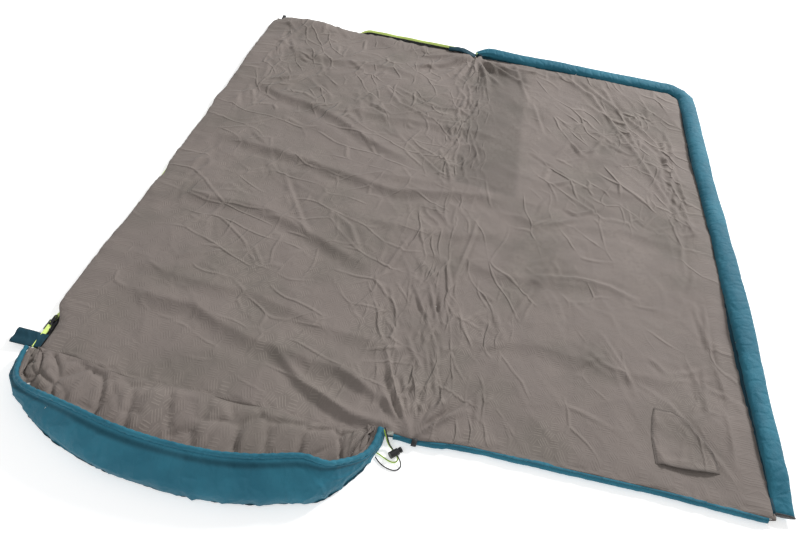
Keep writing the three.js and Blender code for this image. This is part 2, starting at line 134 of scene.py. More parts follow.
def crease(x, y, path, width, height, dip=0.45):
    """A fold of cloth along a path: a crest with a valley on one side, fading at its ends."""
    path = np.asarray(path, float)
    reach = 4.5 * width
    low, high = path.min(0) - reach, path.max(0) + reach
    near = (x > low[0]) & (x < high[0]) & (y > low[1]) & (y < high[1])
    px, py = x[near], y[near]
    best = np.full(px.shape, np.inf)
    across = np.zeros(px.shape)
    along = np.zeros(px.shape)
    run = 0.0
    for a, b in zip(path[:-1], path[1:]):
        length = float(np.hypot(*(b - a)))
        ux, uy = (b - a) / length
        t = np.clip((px - a[0]) * ux + (py - a[1]) * uy, 0, length)
        dx, dy = px - a[0] - t * ux, py - a[1] - t * uy
        d = np.hypot(dx, dy)
        closer = d < best
        best = np.where(closer, d, best)
        across = np.where(closer, np.sign(ux * dy - uy * dx) * d, across)
        along = np.where(closer, run + t, along)
        run += length
    fade = np.sin(np.pi * np.clip(along / run, 0, 1)) ** 0.7
    crest = np.exp(-((np.abs(across) / width) ** 1.4))
    valley = dip * bump(across, 1.9 * width, 1.4 * width)
    field = np.zeros(x.shape)
    field[near] = height * fade * (crest - valley)
    return field


rng = np.random.default_rng(674)


def bent_path(x, y, angle, length, bend):
    """Three points from (x, y) along angle, in degrees, with a bend in the middle."""
    turn = math.radians(angle)
    step = 0.5 * length * np.array([math.cos(turn), math.sin(turn)])
    side = bend * length * np.array([-math.sin(turn), math.cos(turn)])
    start = np.array([x, y], float)
    return [start, start + step + side, start + 2 * step]


def family(xs, ys, count, angles, lengths, widths, heights):
    """Creases spread over a patch. Each starts where the last few met or at a new place."""
    made = []
    x, y = rng.uniform(*xs), rng.uniform(*ys)
    for i in range(count):
        if i % 3 == 0:
            x, y = rng.uniform(*xs), rng.uniform(*ys)
        angle = rng.choice([-1, 1]) * rng.uniform(*angles) + (180 if rng.random() < 0.5 else 0)
        length = rng.uniform(*lengths)
        path = bent_path(x, y, angle, length, rng.uniform(-0.08, 0.08))
        made.append((path, rng.uniform(*widths), rng.uniform(*heights)))
    return made


def fan(x, y, angles, lengths, widths, heights, count):
    """Creases that spread from one point, from the first to the second angle."""
    made = []
    for angle in np.linspace(*angles, count):
        angle += rng.uniform(-4, 4)
        near = rng.uniform(5, 25)
        turn = math.radians(angle)
        start = (x + near * math.cos(turn), y + near * math.sin(turn))
        path = bent_path(*start, angle, rng.uniform(*lengths), rng.uniform(-0.06, 0.06))
        made.append((path, rng.uniform(*widths), rng.uniform(*heights)))
    return made


# Across the fold, at both of its ends, in each quarter and beside the draft tube.
CREASES = [
    *family((-60, 60), (60, 1800), 60, (60, 86), (60, 170), (3.2, 5), (3, 5.5)),
    *fan(4, 1846, (196, 348), (120, 360), (6, 13), (6, 11), 17),
    *fan(40, -5, (35, 130), (90, 260), (4, 8), (4, 8), 12),
    *family((280, 800), (900, 1760), 60, (28, 68), (60, 170), (4, 7), (2.5, 5)),
    *family((-760, -120), (1150, 1780), 50, (25, 75), (70, 210), (4.5, 8), (2.5, 5)),
    *family((-780, -150), (150, 1150), 30, (20, 80), (60, 150), (4.5, 8), (1.5, 3.2)),
    *family((150, 780), (100, 900), 36, (15, 75), (60, 170), (4.5, 8), (1.5, 3.4)),
    *family((730, 815), (100, 1500), 22, (78, 90), (120, 300), (4.5, 8), (3.5, 6.5)),
    *family((-835, -760), (120, 1750), 34, (60, 88), (60, 200), (5, 9), (2, 4.5)),
]

# The longer creases, each a path, a width and a height. Most of their points, about half of those
# in PACKED and all in the pocket's sides were measured with a helper, as report.md says.
LONG_CREASES = [
    ([(245, 1835), (397, 1810), (496, 1710), (627, 1403), (719, 1125), (790, 960)], 9, 9),
    ([(523, 1830), (609, 1613), (664, 1350)], 8, 8),
    ([(453, 1810), (590, 1650), (680, 1550), (782, 1354), (830, 1280)], 8, 7),
    ([(169, 1840), (242, 1568)], 7, 7),
    ([(258, 1574), (307, 1359)], 6, 6),
    ([(482, 1640), (596, 1525), (709, 1400)], 7, 6),
    ([(370, 1033), (526, 915)], 5, 5),
    ([(750, 1230), (786, 1060), (817, 853)], 7, 7),
    ([(-530, 845), (-407, 630), (-355, 555)], 6, 7),
    ([(-331, 689), (-256, 633), (-191, 508)], 7, 7),
    ([(-315, 1460), (-235, 1347), (-113, 1295), (35, 1303)], 8, 8),
    ([(-277, 1467), (-127, 1383), (53, 1417)], 7, 7),
    ([(-221, 1172), (-33, 983), (21, 956)], 5, 6),
    ([(9, 476), (52, 335)], 4.5, 7),
    ([(36, 597), (66, 494), (62, 341)], 4.5, 7),
    ([(113, 803), (107, 709), (72, 495)], 5, 7),
    ([(-73, 660), (-128, 454)], 5, 6),
    ([(299, 552), (235, 388)], 4.5, 6),
    ([(202, 422), (210, 353)], 4.5, 5),
    ([(199, 459), (149, 491)], 4.5, 5),
    ([(-108, 368), (-86, 234)], 4.5, 5),
    ([(-63, 224), (-26, 109)], 4.5, 6),
    ([(23, 168), (-13, 55)], 4.5, 6),
    ([(48, 255), (79, 123), (62, 47)], 4.5, 6),
    ([(122, 150), (77, 24)], 4.5, 5.5),
    ([(178, 156), (182, 30)], 4.5, 5.5),
    ([(-64, 381), (-136, 287)], 4.5, 5),
    ([(826, 700), (820, 542), (806, 363)], 7, 7),
    ([(796, 260), (792, 104)], 5, 7),
    ([(813, 250), (815, 124), (808, 40)], 5, 6),
    ([(640, 262), (721, 150), (790, 60)], 6, 6),
    ([(483, 431), (544, 312), (576, 227)], 5, 5),
    ([(286, 585), (417, 613), (519, 611), (603, 580)], 8, 7),
    ([(197, 600), (280, 724), (378, 817)], 26, 9),
    ([(287, 553), (372, 668), (449, 745)], 22, 7),
    ([(30, 8), (-60, 22), (-107, 32), (-163, 58), (-245, 92), (-340, 160)], 11, 13),
    ([(-10, 60), (-90, 105), (-190, 150)], 9, 7),
]

# Long soft folds across the bag from its packing, steep towards the neck: a path and a height.
PACKED = [
    ([(-834, 290), (-727, 323), (-576, 290), (-437, 295), (-229, 239), (-60, 222), (60, 231)], 6),
    ([(-780, 232), (-705, 225), (-558, 215), (-422, 163), (-187, 135), (-20, 95)], 10),
    ([(-800, 640), (-621, 630), (-511, 628), (-392, 579), (-253, 514), (-130, 470)], 9),
    ([(-240, 700), (-157, 670), (-54, 676), (69, 692), (172, 735), (223, 810)], 5),
    ([(40, 640), (95, 594), (185, 571), (289, 570), (480, 595), (560, 640)], 5),
    ([(-835, 965), (-743, 955), (-542, 915), (-343, 872), (-151, 836), (110, 905), (240, 900)], 10),
    ([(-300, 903), (-154, 906), (9, 919), (130, 940)], 4),
    ([(-820, 1330), (-730, 1289), (-494, 1202), (-229, 1048), (-120, 1010)], 9),
    ([(-480, 1270), (-395, 1248), (-288, 1234), (-144, 1255), (68, 1268), (220, 1250)], 6),
    ([(-800, 1590), (-560, 1560), (-330, 1600), (-150, 1570)], 6),
    ([(150, 1080), (330, 1050), (520, 1085), (700, 1060)], 4),
    ([(120, 300), (330, 330), (560, 300), (760, 330)], 4),
    ([(140, 850), (330, 830), (560, 880), (800, 850)], 4),
]


def packed_fold(x, y, path, height):
    """A fold that runs across the bag: its height over each point."""
    path = np.array(path, float)
    line = np.interp(x, path[:, 0], path[:, 1]) + 7 * wave(x, 90, 21) + 3 * wave(x, 33, 22)
    span = path[-1, 0] - path[0, 0]
    ends = smooth((x - path[0, 0]) / (0.2 * span)) * smooth((path[-1, 0] - x) / (0.2 * span))
    past = y - line
    near = np.exp(-((np.abs(past) / 17) ** 1.4))
    far = np.exp(-np.abs(past) / 55)
    dip = 0.35 * bump(past, -38, 22)
    return height * ends * (np.where(past < 0, near, far) - dip)


def cell_ridges(x, y, size, turn, width, seed):
    """Straight ridges, 0 to 1, where irregular cells of cloth meet. size is (across, along)."""
    angle = math.radians(turn)
    bend = 0.18 * size[1]
    px = x + bend * noise(x, y, 0.8 * size[1], seed + 3)
    py = y + bend * noise(x, y, 0.8 * size[1], seed + 4)
    u = (px * math.cos(angle) + py * math.sin(angle)) / size[0]
    v = (py * math.cos(angle) - px * math.sin(angle)) / size[1]
    iu, iv = np.floor(u), np.floor(v)
    first = np.full(x.shape, 9.0)
    second = np.full(x.shape, 9.0)
    for du in (-1, 0, 1):
        for dv in (-1, 0, 1):
            cu, cv = iu + du, iv + dv
            gap_u = (cu + 0.1 + 0.8 * lattice(cu, cv, seed)) - u
            gap_v = (cv + 0.1 + 0.8 * lattice(cu, cv, seed + 1)) - v
            d = np.hypot(gap_u, gap_v)
            second = np.minimum(second, np.maximum(first, d))
            first = np.minimum(first, d)
    border = 0.6 * (second - first) * size[0]
    return np.exp(-((border / width) ** 1.3))


def crisscross(x, y):
    """The finer network of creases, where the bag was crushed most."""
    patchy = 0.55 + 0.75 * noise(x, y, 110, 24)
    fold = bump(x, 0, 70) * smooth((y - 20) / 60)
    near_neck = bump(x, 30, 150) * (1 - smooth((y - 330) / 200))
    right = smooth((x - 250) / 140) * smooth((y - 880) / 160)
    left = smooth((-60 - x) / 120) * smooth((y - 1080) / 200)
    rest = np.clip(1 - fold - near_neck - right - left, 0, 1)
    z = 5.0 * fold * cell_ridges(x, y, (36, 115), 4, 3.6, 25)
    z += 4.5 * near_neck * cell_ridges(x, y, (44, 150), -5, 3.8, 31)
    z += 2.8 * right * cell_ridges(x, y, (62, 190), 34, 6.5, 37)
    z += 3.2 * left * cell_ridges(x, y, (80, 190), -34, 7, 49)
    z += 1.6 * rest * cell_ridges(x, y, (95, 150), 20, 4.4, 61)
    return z * np.clip(patchy, 0, 1.3)


def top_height(x, y):
    """Height of the lining over a point of the floor, away from the quilt's edges."""
    z = LOFT - 5.0 + 6.5 * noise(x, y, 330, 11) + 4.0 * noise(x, y, 150, 12)
    z += 2.0 * crumple(x, y, 190, 13) + 1.8 * crumple(x, y, 74, 16) - 1.9
    z += 0.8 * noise(x, y, 38, 19) + crisscross(x, y)
    for path, height in PACKED:
        z += packed_fold(x, y, path, height)
    for path, width, height in CREASES + LONG_CREASES:
        z += crease(x, y, path, width, height)
    hump = 22 * np.exp(-(((x + 710) / 125) ** 2) - (((y - 1836) / 75) ** 2))
    return np.clip(z, 8, 42) + hump


# ---- Edges of the quilt --------------------------------------------------------------
SIDE_ROLL = 46  # width of cloth that turns down to a side seam
NECK_ROLL = 40
FOOT_SEAM_LIFT = 25  # the bottom half's foot seam stands up where the zip shows


def edge_roll(u, reach, bulge):
    """Inward distance and share of full height of cloth u from the seam it turns down to."""
    t = np.clip(u / reach, 0, 1)
    inward = np.where(u < reach, reach * t * t - 4 * bulge * t * (1 - t), u)
    return inward, np.sin(0.5 * np.pi * t**0.8)


def side_bulge(x, y):
    """How far the stuffed side swells over its seam."""
    left = (31 + 5 * wave(y, 170, 31) + 2 * wave(y, 45, 32)) * smooth((y - 75) / 70)
    for place in (700, 1240):
        left = left - 9 * bump(y, place, 45)
    right = 25 + 3 * wave(y, 60, 30)
    return np.where(x < 0, left, right)


def zip_stands(x):
    """1 where the bottom half's foot edge holds its zip up, 0 elsewhere."""
    return smooth((x + 530) / 80) * smooth((-4 - x) / 40)


def foot_bulge(x):
    swell = 27 + 7 * wave(x, 110, 33) + 3 * wave(x, 40, 34)
    return np.where(x < 0, swell * (1 - zip_stands(x)) + 14 * zip_stands(x), 20 + 2 * wave(x, 60, 35))


def seam_lift(x, y):
    """Height of the side and foot seams."""
    at_foot = smooth((y - LENGTH + 25) / 25)
    corner = 16 * bump(x, -780, 110)
    return SEAM_LIFT + at_foot * ((FOOT_SEAM_LIFT - SEAM_LIFT) * zip_stands(x) + corner)


def round_corner(x, y):
    """Draws the two foot corners in to their radius."""
    p = (np.abs(x) - (HALF_WIDTH - CORNER)) / CORNER
    q = (y - (LENGTH - CORNER)) / CORNER
    inside = (p > 0) & (q > 0)
    p, q = np.where(inside, p, 1), np.where(inside, q, 0)
    scale = np.maximum(p, q) / np.hypot(p, q)
    rounded_x = np.sign(x) * (HALF_WIDTH - CORNER + CORNER * p * scale)
    rounded_y = LENGTH - CORNER + CORNER * q * scale
    return np.where(inside, rounded_x, x), np.where(inside, rounded_y, y)


def neck_sag(x):
    """How far the neck seam sags towards the front."""
    left = 25 * smooth((x + 810) / 250) * (1 - 0.6 * smooth((x + 95) / 75)) + 4 * wave(x, 95, 36)
    right = 14 * bump(x, 45, 75) + 8 * smooth((x - 600) / 240)
    share = smooth((x + 20) / 40)
    return left * (1 - share) * smooth((x + 850) / 60) + right * share


def sag(x, y):
    """The neck seam's sag, fading out along the bag."""
    return neck_sag(x) * (1 - smooth(y / 260))


def quilt_top(flat_x, flat_y):
    """Points of the lining for points of the flat cut, the seams at the edges of the cut."""
    x_in, x_share = edge_roll(HALF_WIDTH - np.abs(flat_x), SIDE_ROLL, side_bulge(flat_x, flat_y))
    foot_in, foot_share = edge_roll(LENGTH - flat_y, SIDE_ROLL, foot_bulge(flat_x))
    neck_in, neck_share = edge_roll(flat_y, NECK_ROLL, 0)
    x = np.sign(flat_x) * (HALF_WIDTH - x_in)
    y = np.where(flat_y < NECK_ROLL, neck_in, LENGTH - foot_in)
    z = top_height(x, y) + 12 * zip_stands(flat_x) * smooth((y - LENGTH + 110) / 110)
    pucker = 2.6 * noise(flat_x + flat_y, flat_x - flat_y, 15, 41)
    rim_distance = np.minimum(np.minimum(HALF_WIDTH - np.abs(flat_x), LENGTH - flat_y), flat_y)
    z += pucker * bump(rim_distance, 14, 16)
    neck_seam = np.where(flat_x < 0, 24 + 4 * wave(flat_x, 90, 42), 17.0)
    z = neck_seam + (z - neck_seam) * neck_share
    lift = seam_lift(flat_x, flat_y)
    z = lift + (z - lift) * x_share * foot_share
    x, y = round_corner(x, y)
    return np.stack([x, y - sag(x, y), z], -1)


def under_height(x, y):
    """Height of the outer shell's underside over the floor it lies on."""
    z = 1.1 + 0.9 * noise(x, y, 120, 51) + 1.5 * crumple(x, y, 90, 52) - 0.9
    z += 1.6 * cell_ridges(x, y, (80, 150), 10, 5, 67)
    for path, height in PACKED:
        z += 0.2 * packed_fold(x, y, path, height)
    return np.clip(z, 0.15, 5)


def quilt_under(flat_x, flat_y):
    """Points of the outer shell for points of the flat cut."""
    reach = 26
    x_in, x_share = edge_roll(HALF_WIDTH - np.abs(flat_x), reach, 1.5)
    foot_in, foot_share = edge_roll(LENGTH - flat_y, reach, 1.5 + 9 * zip_stands(flat_x))
    neck_in, _ = edge_roll(flat_y, reach, 0)
    x = np.sign(flat_x) * (HALF_WIDTH - x_in)
    y = np.where(flat_y < reach, neck_in, LENGTH - foot_in)
    z = under_height(x, y)
    lift = seam_lift(flat_x, flat_y)
    z = lift + (z - lift) * x_share * foot_share
    x, y = round_corner(x, y)
    return np.stack([x, y - sag(x, y), z], -1)


# ---- Meshes --------------------------------------------------------------------------
def make_mesh(name, points, faces, cloth):
    """A smooth mesh from millimetre points. cloth holds each point's place on the flat cloth and
    its distance from the nearest seam, in millimetres, where the materials paint shade near seams."""
    mesh = bpy.data.meshes.new(name)
    mesh.from_pydata(to_frame(points).tolist(), [], faces)
    mesh.validate()
    attribute = mesh.attributes.new("cloth", "FLOAT_VECTOR", "POINT")
    attribute.data.foreach_set("vector", (np.asarray(cloth) * MM).astype(np.float32).ravel())
    mesh.shade_smooth()
    return put_in_scene(name, mesh)


def grid_faces(rows, columns, closed=False):
    index = np.arange(rows * columns).reshape(rows, columns)
    here = index if closed else index[:, :-1]
    there = np.roll(index, -1, axis=1) if closed else index[:, 1:]
    return np.stack([here[:-1], there[:-1], there[1:], here[1:]], -1).reshape(-1, 4)


def flat_run(points, axis):
    """Distance along one direction of a grid of points, as the cloth's own measure."""
    steps = np.linalg.norm(np.diff(points, axis=axis), axis=-1).mean(axis=1 - axis)
    return np.concatenate([[0], np.cumsum(steps)])


def cloth_of(points):
    """Cloth coordinates of a grid of points from its own lengths, set far from any seam so that no painted
    seam shade shows.
    """
    rows, columns = points.shape[:2]
    u = np.broadcast_to(flat_run(points, 1), (rows, columns))
    v = np.broadcast_to(flat_run(points, 0)[:, None], (rows, columns))
    return np.stack([u, v, np.full((rows, columns), 100.0)], -1)


def sheet_mesh(name, points, cloth=None, closed=False, flip=False):
    rows, columns = points.shape[:2]
    faces = grid_faces(rows, columns, closed)
    if flip:
        faces = faces[:, ::-1]
    if cloth is None:
        cloth = cloth_of(points)
    return make_mesh(name, points.reshape(-1, 3), faces.tolist(), cloth.reshape(-1, 3))


def slab_mesh(name, top, under):
    """A closed piece between two grids of points, top over under."""
    rows, columns = top.shape[:2]
    count = rows * columns
    index = np.arange(count).reshape(rows, columns)
    rim = np.concatenate([index[0, :-1], index[:-1, -1], index[-1, :0:-1], index[:0:-1, 0]])
    following = np.roll(rim, -1)
    sides = np.stack([rim + count, following + count, following, rim], -1)
    faces = grid_faces(rows, columns)
    faces = np.concatenate([faces, faces[:, ::-1] + count, sides])
    points = np.concatenate([top.reshape(-1, 3), under.reshape(-1, 3)])
    cloth = np.concatenate([cloth_of(top).reshape(-1, 3)] * 2)
    return make_mesh(name, points, faces.tolist(), cloth)


def grid_normals(points):
    """Unit normals of a grid of points, to the side that grid_faces() faces."""
    return unit(np.cross(np.gradient(points, axis=1), np.gradient(points, axis=0)))


def run_along(path):
    """Distance of each point of a path from its start."""
    return np.concatenate([[0], np.cumsum(np.linalg.norm(np.diff(path, axis=0), axis=1))])


def full_turn(sides):
    return 2 * np.pi * np.arange(sides) / sides


def ring_of(turn, level, upright):
    """Rings that turn from the level towards the upright direction of each point of a path."""
    cos, sin = np.cos(turn)[None, :, None], np.sin(turn)[None, :, None]
    return cos * level[:, None] + sin * upright[:, None]


def directions_across(tangent):
    """Two directions across each tangent, level and upright."""
    level = unit(np.cross(tangent, [0, 0, 1]))
    return level, np.cross(level, tangent)


def tangents(path):
    return unit(np.gradient(path, axis=0))


def tube_grid(path, radius, sides):
    """Rings round a path. radius is one number or one for each ring and side."""
    level, upright = directions_across(tangents(path))
    turn = full_turn(sides)
    radius = np.broadcast_to(radius, (len(path), sides))
    return path[:, None] + radius[..., None] * ring_of(turn, level, upright)


def capped(points):
    """Closes both ends of a grid of rings by a last ring drawn in to its middle."""
    first, last = points[:1].mean(1, keepdims=True), points[-1:].mean(1, keepdims=True)
    return np.concatenate([first + 0.02 * (points[:1] - first), points, last + 0.02 * (points[-1:] - last)])


def even_path(rows, step):
    """Points a step apart along a smooth curve through the rows."""
    rows = np.asarray(rows, float)
    before, after = 2 * rows[0] - rows[1], 2 * rows[-1] - rows[-2]
    knots = np.vstack([before, rows, after])
    fine = []
    for p0, p1, p2, p3 in zip(knots, knots[1:], knots[2:], knots[3:]):
        gaps = [max(np.linalg.norm(b - a), 1e-6) ** 0.5 for a, b in ((p0, p1), (p1, p2), (p2, p3))]
        t1, t2 = gaps[0], gaps[0] + gaps[1]
        t3 = t2 + gaps[2]
        for t in np.linspace(t1, t2, 24, endpoint=False):
            a1 = (t1 - t) / t1 * p0 + t / t1 * p1
            a2 = (t2 - t) / (t2 - t1) * p1 + (t - t1) / (t2 - t1) * p2
            a3 = (t3 - t) / (t3 - t2) * p2 + (t - t2) / (t3 - t2) * p3
            b1 = (t2 - t) / t2 * a1 + t / t2 * a2
            b2 = (t3 - t) / (t3 - t1) * a2 + (t - t1) / (t3 - t1) * a3
            fine.append((t2 - t) / (t2 - t1) * b1 + (t - t1) / (t2 - t1) * b2)
    fine = np.array([*fine, rows[-1]])
    run = run_along(fine)
    marks = np.linspace(0, run[-1], max(2, round(run[-1] / step) + 1))
    return sample(marks, run, fine), run[-1]


# ---- Materials -----------------------------------------------------------------------
class Finish:
    """A procedural material. Its pattern lies in the cloth's own coordinates, or the object's."""

    def __init__(self, name, roughness, on_cloth=True, **sockets):
        self.material = bpy.data.materials.new(name)
        self.material.use_nodes = True
        self.tree = self.material.node_tree
        self.shader = self.tree.nodes["Principled BSDF"]
        self.shader.inputs["Roughness"].default_value = roughness
        for socket, value in sockets.items():
            self.shader.inputs[socket.replace("_", " ")].default_value = value
        if on_cloth:
            source = self.tree.nodes.new("ShaderNodeAttribute")
            source.attribute_name = "cloth"
            self.place = source.outputs["Vector"]
        else:
            self.place = self.tree.nodes.new("ShaderNodeTexCoord").outputs["Object"]
        self.height = None

    def put(self, socket, value):
        if isinstance(value, bpy.types.NodeSocket):
            self.tree.links.new(value, socket)
        else:
            socket.default_value = value

    def maths(self, operation, *values):
        node = self.tree.nodes.new("ShaderNodeMath")
        node.operation = operation
        for socket, value in zip(node.inputs, values):
            self.put(socket, value)
        return node.outputs[0]

    def times(self, a, b):
        return self.maths("MULTIPLY", a, b)

    def inverse(self, value):
        return self.maths("SUBTRACT", 1.0, value)

    def split(self, value):
        """The X, Y and Z of a vector."""
        node = self.tree.nodes.new("ShaderNodeSeparateXYZ")
        self.put(node.inputs[0], value)
        return node.outputs

    def vector(self, operation, *values):
        node = self.tree.nodes.new("ShaderNodeVectorMath")
        node.operation = operation
        for socket, value in zip(node.inputs, values):
            self.put(socket, value)
        return node.outputs["Value" if operation in ("DOT_PRODUCT", "LENGTH") else "Vector"]

    def noise(self, size, detail=3.0, stretch=(1, 1, 1)):
        node = self.tree.nodes.new("ShaderNodeTexNoise")
        self.put(node.inputs["Vector"], self.vector("MULTIPLY", self.place, stretch))
        node.inputs["Scale"].default_value = 1 / (size * MM)
        node.inputs["Detail"].default_value = detail
        return node.outputs["Fac"]

    def steps(self, value, low, high):
        """0 below low, 1 above high and smooth between."""
        node = self.tree.nodes.new("ShaderNodeMapRange")
        node.interpolation_type = "SMOOTHSTEP"
        self.put(node.inputs["Value"], value)
        node.inputs["From Min"].default_value = low
        node.inputs["From Max"].default_value = high
        return node.outputs["Result"]

    def scale(self, value, factor):
        scaled = self.vector("SCALE", value)
        scaled.node.inputs["Scale"].default_value = factor
        return scaled

    def flat(self, value):
        """A vector with its Z set to 0."""
        return self.vector("MULTIPLY", value, (1, 1, 0))

    def mix(self, share, a, b, kind="Color"):
        """a where share is 0 and b where it is 1. Both are colours, or vectors if kind says so."""
        node = self.tree.nodes.new("ShaderNodeMix")
        node.data_type = "RGBA" if kind == "Color" else "VECTOR"
        for name, value in (("Factor_Float", share), (f"A_{kind}", a), (f"B_{kind}", b)):
            self.put(next(s for s in node.inputs if s.identifier == name), value)
        return next(s for s in node.outputs if s.identifier == f"Result_{kind}")

    def tint(self, base, value, share, colour):
        """The base with a share of value of another colour mixed in."""
        return self.mix(self.times(value, share), base, colour)

    def weave(self, pitch):
        """Threads over and under each other: 0 to 1."""
        x, y, _ = self.split(self.scale(self.place, math.pi / (pitch * MM)))
        warp = self.maths("ABSOLUTE", self.maths("SINE", x))
        weft = self.maths("ABSOLUTE", self.maths("SINE", y))
        over = self.maths("SINE", self.maths("ADD", x, y))
        mixed = self.times(self.maths("SUBTRACT", warp, weft), over)
        return self.maths("MULTIPLY_ADD", mixed, 0.5, 0.5)

    def inside(self, x_range, y_range, soft):
        """1 on a patch of the cloth, in millimetres, fading to 0 at its sides over soft."""
        edges = []
        for along, (low, high) in zip(self.split(self.place), (x_range, y_range)):
            rise = self.steps(along, (low - soft) * MM, (low + soft) * MM)
            fall = self.steps(along, (high - soft) * MM, (high + soft) * MM)
            edges.append(self.maths("SUBTRACT", rise, fall))
        return self.times(*edges)

    def pleats(self, size, turn, width, shift):
        """Thin creases, 0 to 1, that meet like the edges of cells of size (across, along)."""
        bend = self.tree.nodes.new("ShaderNodeTexNoise")
        bend.inputs["Scale"].default_value = 1 / (size[1] * MM)
        bend.inputs["Detail"].default_value = 1.0
        self.put(bend.inputs["Vector"], self.vector("ADD", self.place, (shift, 3.1, 0)))
        moved = self.vector("SUBTRACT", bend.outputs["Color"], (0.5, 0.5, 0.5))
        moved = self.vector("MULTIPLY", moved, (0.5 * size[1] * MM, 0.5 * size[1] * MM, 0))
        place = self.vector("ADD", self.flat(self.place), moved)
        turned = self.tree.nodes.new("ShaderNodeVectorRotate")
        turned.rotation_type = "Z_AXIS"
        turned.inputs["Angle"].default_value = -math.radians(turn)
        self.put(turned.inputs["Vector"], place)
        scaled = self.vector("MULTIPLY", turned.outputs[0], (1 / (size[0] * MM), 1 / (size[1] * MM), 1))
        cells = self.tree.nodes.new("ShaderNodeTexVoronoi")
        cells.voronoi_dimensions = "2D"
        cells.feature = "DISTANCE_TO_EDGE"
        cells.inputs["Scale"].default_value = 1
        self.put(cells.inputs["Vector"], self.vector("ADD", scaled, (shift, shift, 0)))
        return self.inverse(self.steps(cells.outputs["Distance"], 0, width / size[0]))

    def relief(self, value, depth):
        """Adds depth millimetres times value to the height the bump follows."""
        scaled = self.times(value, depth)
        self.height = scaled if self.height is None else self.maths("ADD", self.height, scaled)

    def finish(self, colour, roughness=None):
        self.put(self.shader.inputs["Base Color"], colour)
        if roughness is not None:
            self.put(self.shader.inputs["Roughness"], roughness)
        if self.height is not None:
            bump = self.tree.nodes.new("ShaderNodeBump")
            bump.inputs["Strength"].default_value = 1
            bump.inputs["Distance"].default_value = MM
            self.put(bump.inputs["Height"], self.height)
            self.put(self.shader.inputs["Normal"], bump.outputs["Normal"])
        return self.material


def linear(red, green, blue):
    """A colour given as an eye sees it, 0 to 255."""
    parts = [c / 255 for c in (red, green, blue)]
    return (*[c / 12.92 if c <= 0.04045 else ((c + 0.055) / 1.055) ** 2.4 for c in parts], 1)


def painted_seam_shade(f, reach):
    """Painted shade: 1 at a seam, fading to 0 at reach millimetres from it."""
    return f.inverse(f.steps(f.split(f.place)["Z"], 0, reach * MM))


def cell_strokes(f, size):
    """Short strokes in six-sided cells, each cell's strokes in one of three directions."""
    root3 = math.sqrt(3)
    period = (1, root3, 1)
    half = (0.5, root3 / 2, 0.5)
    p = f.flat(f.scale(f.vector("ADD", f.place, (10, 10, 0)), 1 / (size * MM)))
    a = f.vector("SUBTRACT", f.vector("MODULO", p, period), half)
    b = f.vector("SUBTRACT", f.vector("MODULO", f.vector("SUBTRACT", p, half), period), half)
    a, b = f.flat(a), f.flat(b)
    nearer = f.maths("LESS_THAN", f.vector("LENGTH", a), f.vector("LENGTH", b))
    g = f.mix(nearer, b, a, "Vector")
    centre = f.vector("SUBTRACT", p, g)
    colour = f.vector("DOT_PRODUCT", centre, (1, -root3, 0))
    third = f.maths("MODULO", f.maths("ROUND", f.maths("ADD", colour, 3000.0)), 3.0)
    turn = f.times(third, math.pi / 3)
    x, y, _ = f.split(g)
    cos, sin = f.maths("COSINE", turn), f.maths("SINE", turn)
    along = f.maths("ADD", f.times(x, cos), f.times(y, sin))
    across = f.maths("SUBTRACT", f.times(y, cos), f.times(x, sin))
    rows = f.maths("PINGPONG", f.times(across, 4.6), 0.5)
    stroke = f.steps(rows, 0.24, 0.38)
    inside = f.inverse(f.steps(f.maths("ABSOLUTE", along), 0.32, 0.4))
    bounded = f.inverse(f.steps(f.maths("ABSOLUTE", across), 0.38, 0.46))
    return f.times(stroke, f.times(inside, bounded))


# Where the lining is finely creased: cells (across, along), their turn, a crease's width, the
# patch of cloth in x and in y, how softly it ends, and the creases' height, which also sets how strongly
# their crests are lightened as a painted highlight.
CREASED = [
    ((38, 150), -5, 5.0, (-80, 100), (100, 1800), 40, 3.6),
    ((46, 140), 8, 5.5, (-140, 250), (0, 520), 50, 3.6),
    ((58, 190), 36, 6.5, (300, 850), (1000, 1850), 90, 4.6),
    ((70, 130), -24, 5.5, (420, 850), (900, 1700), 110, 2.4),
    ((66, 160), -36, 6.5, (-850, -60), (1100, 1850), 90, 4.6),
    ((60, 130), 26, 6, (-800, -40), (1200, 1850), 90, 3.2),
    ((80, 190), 74, 6.5, (-850, 0), (60, 1150), 60, 2.8),
    ((66, 150), -28, 5.5, (-850, -100), (100, 1000), 60, 2.0),
    ((90, 170), 20, 6, (60, 850), (60, 1000), 60, 2.4),
]


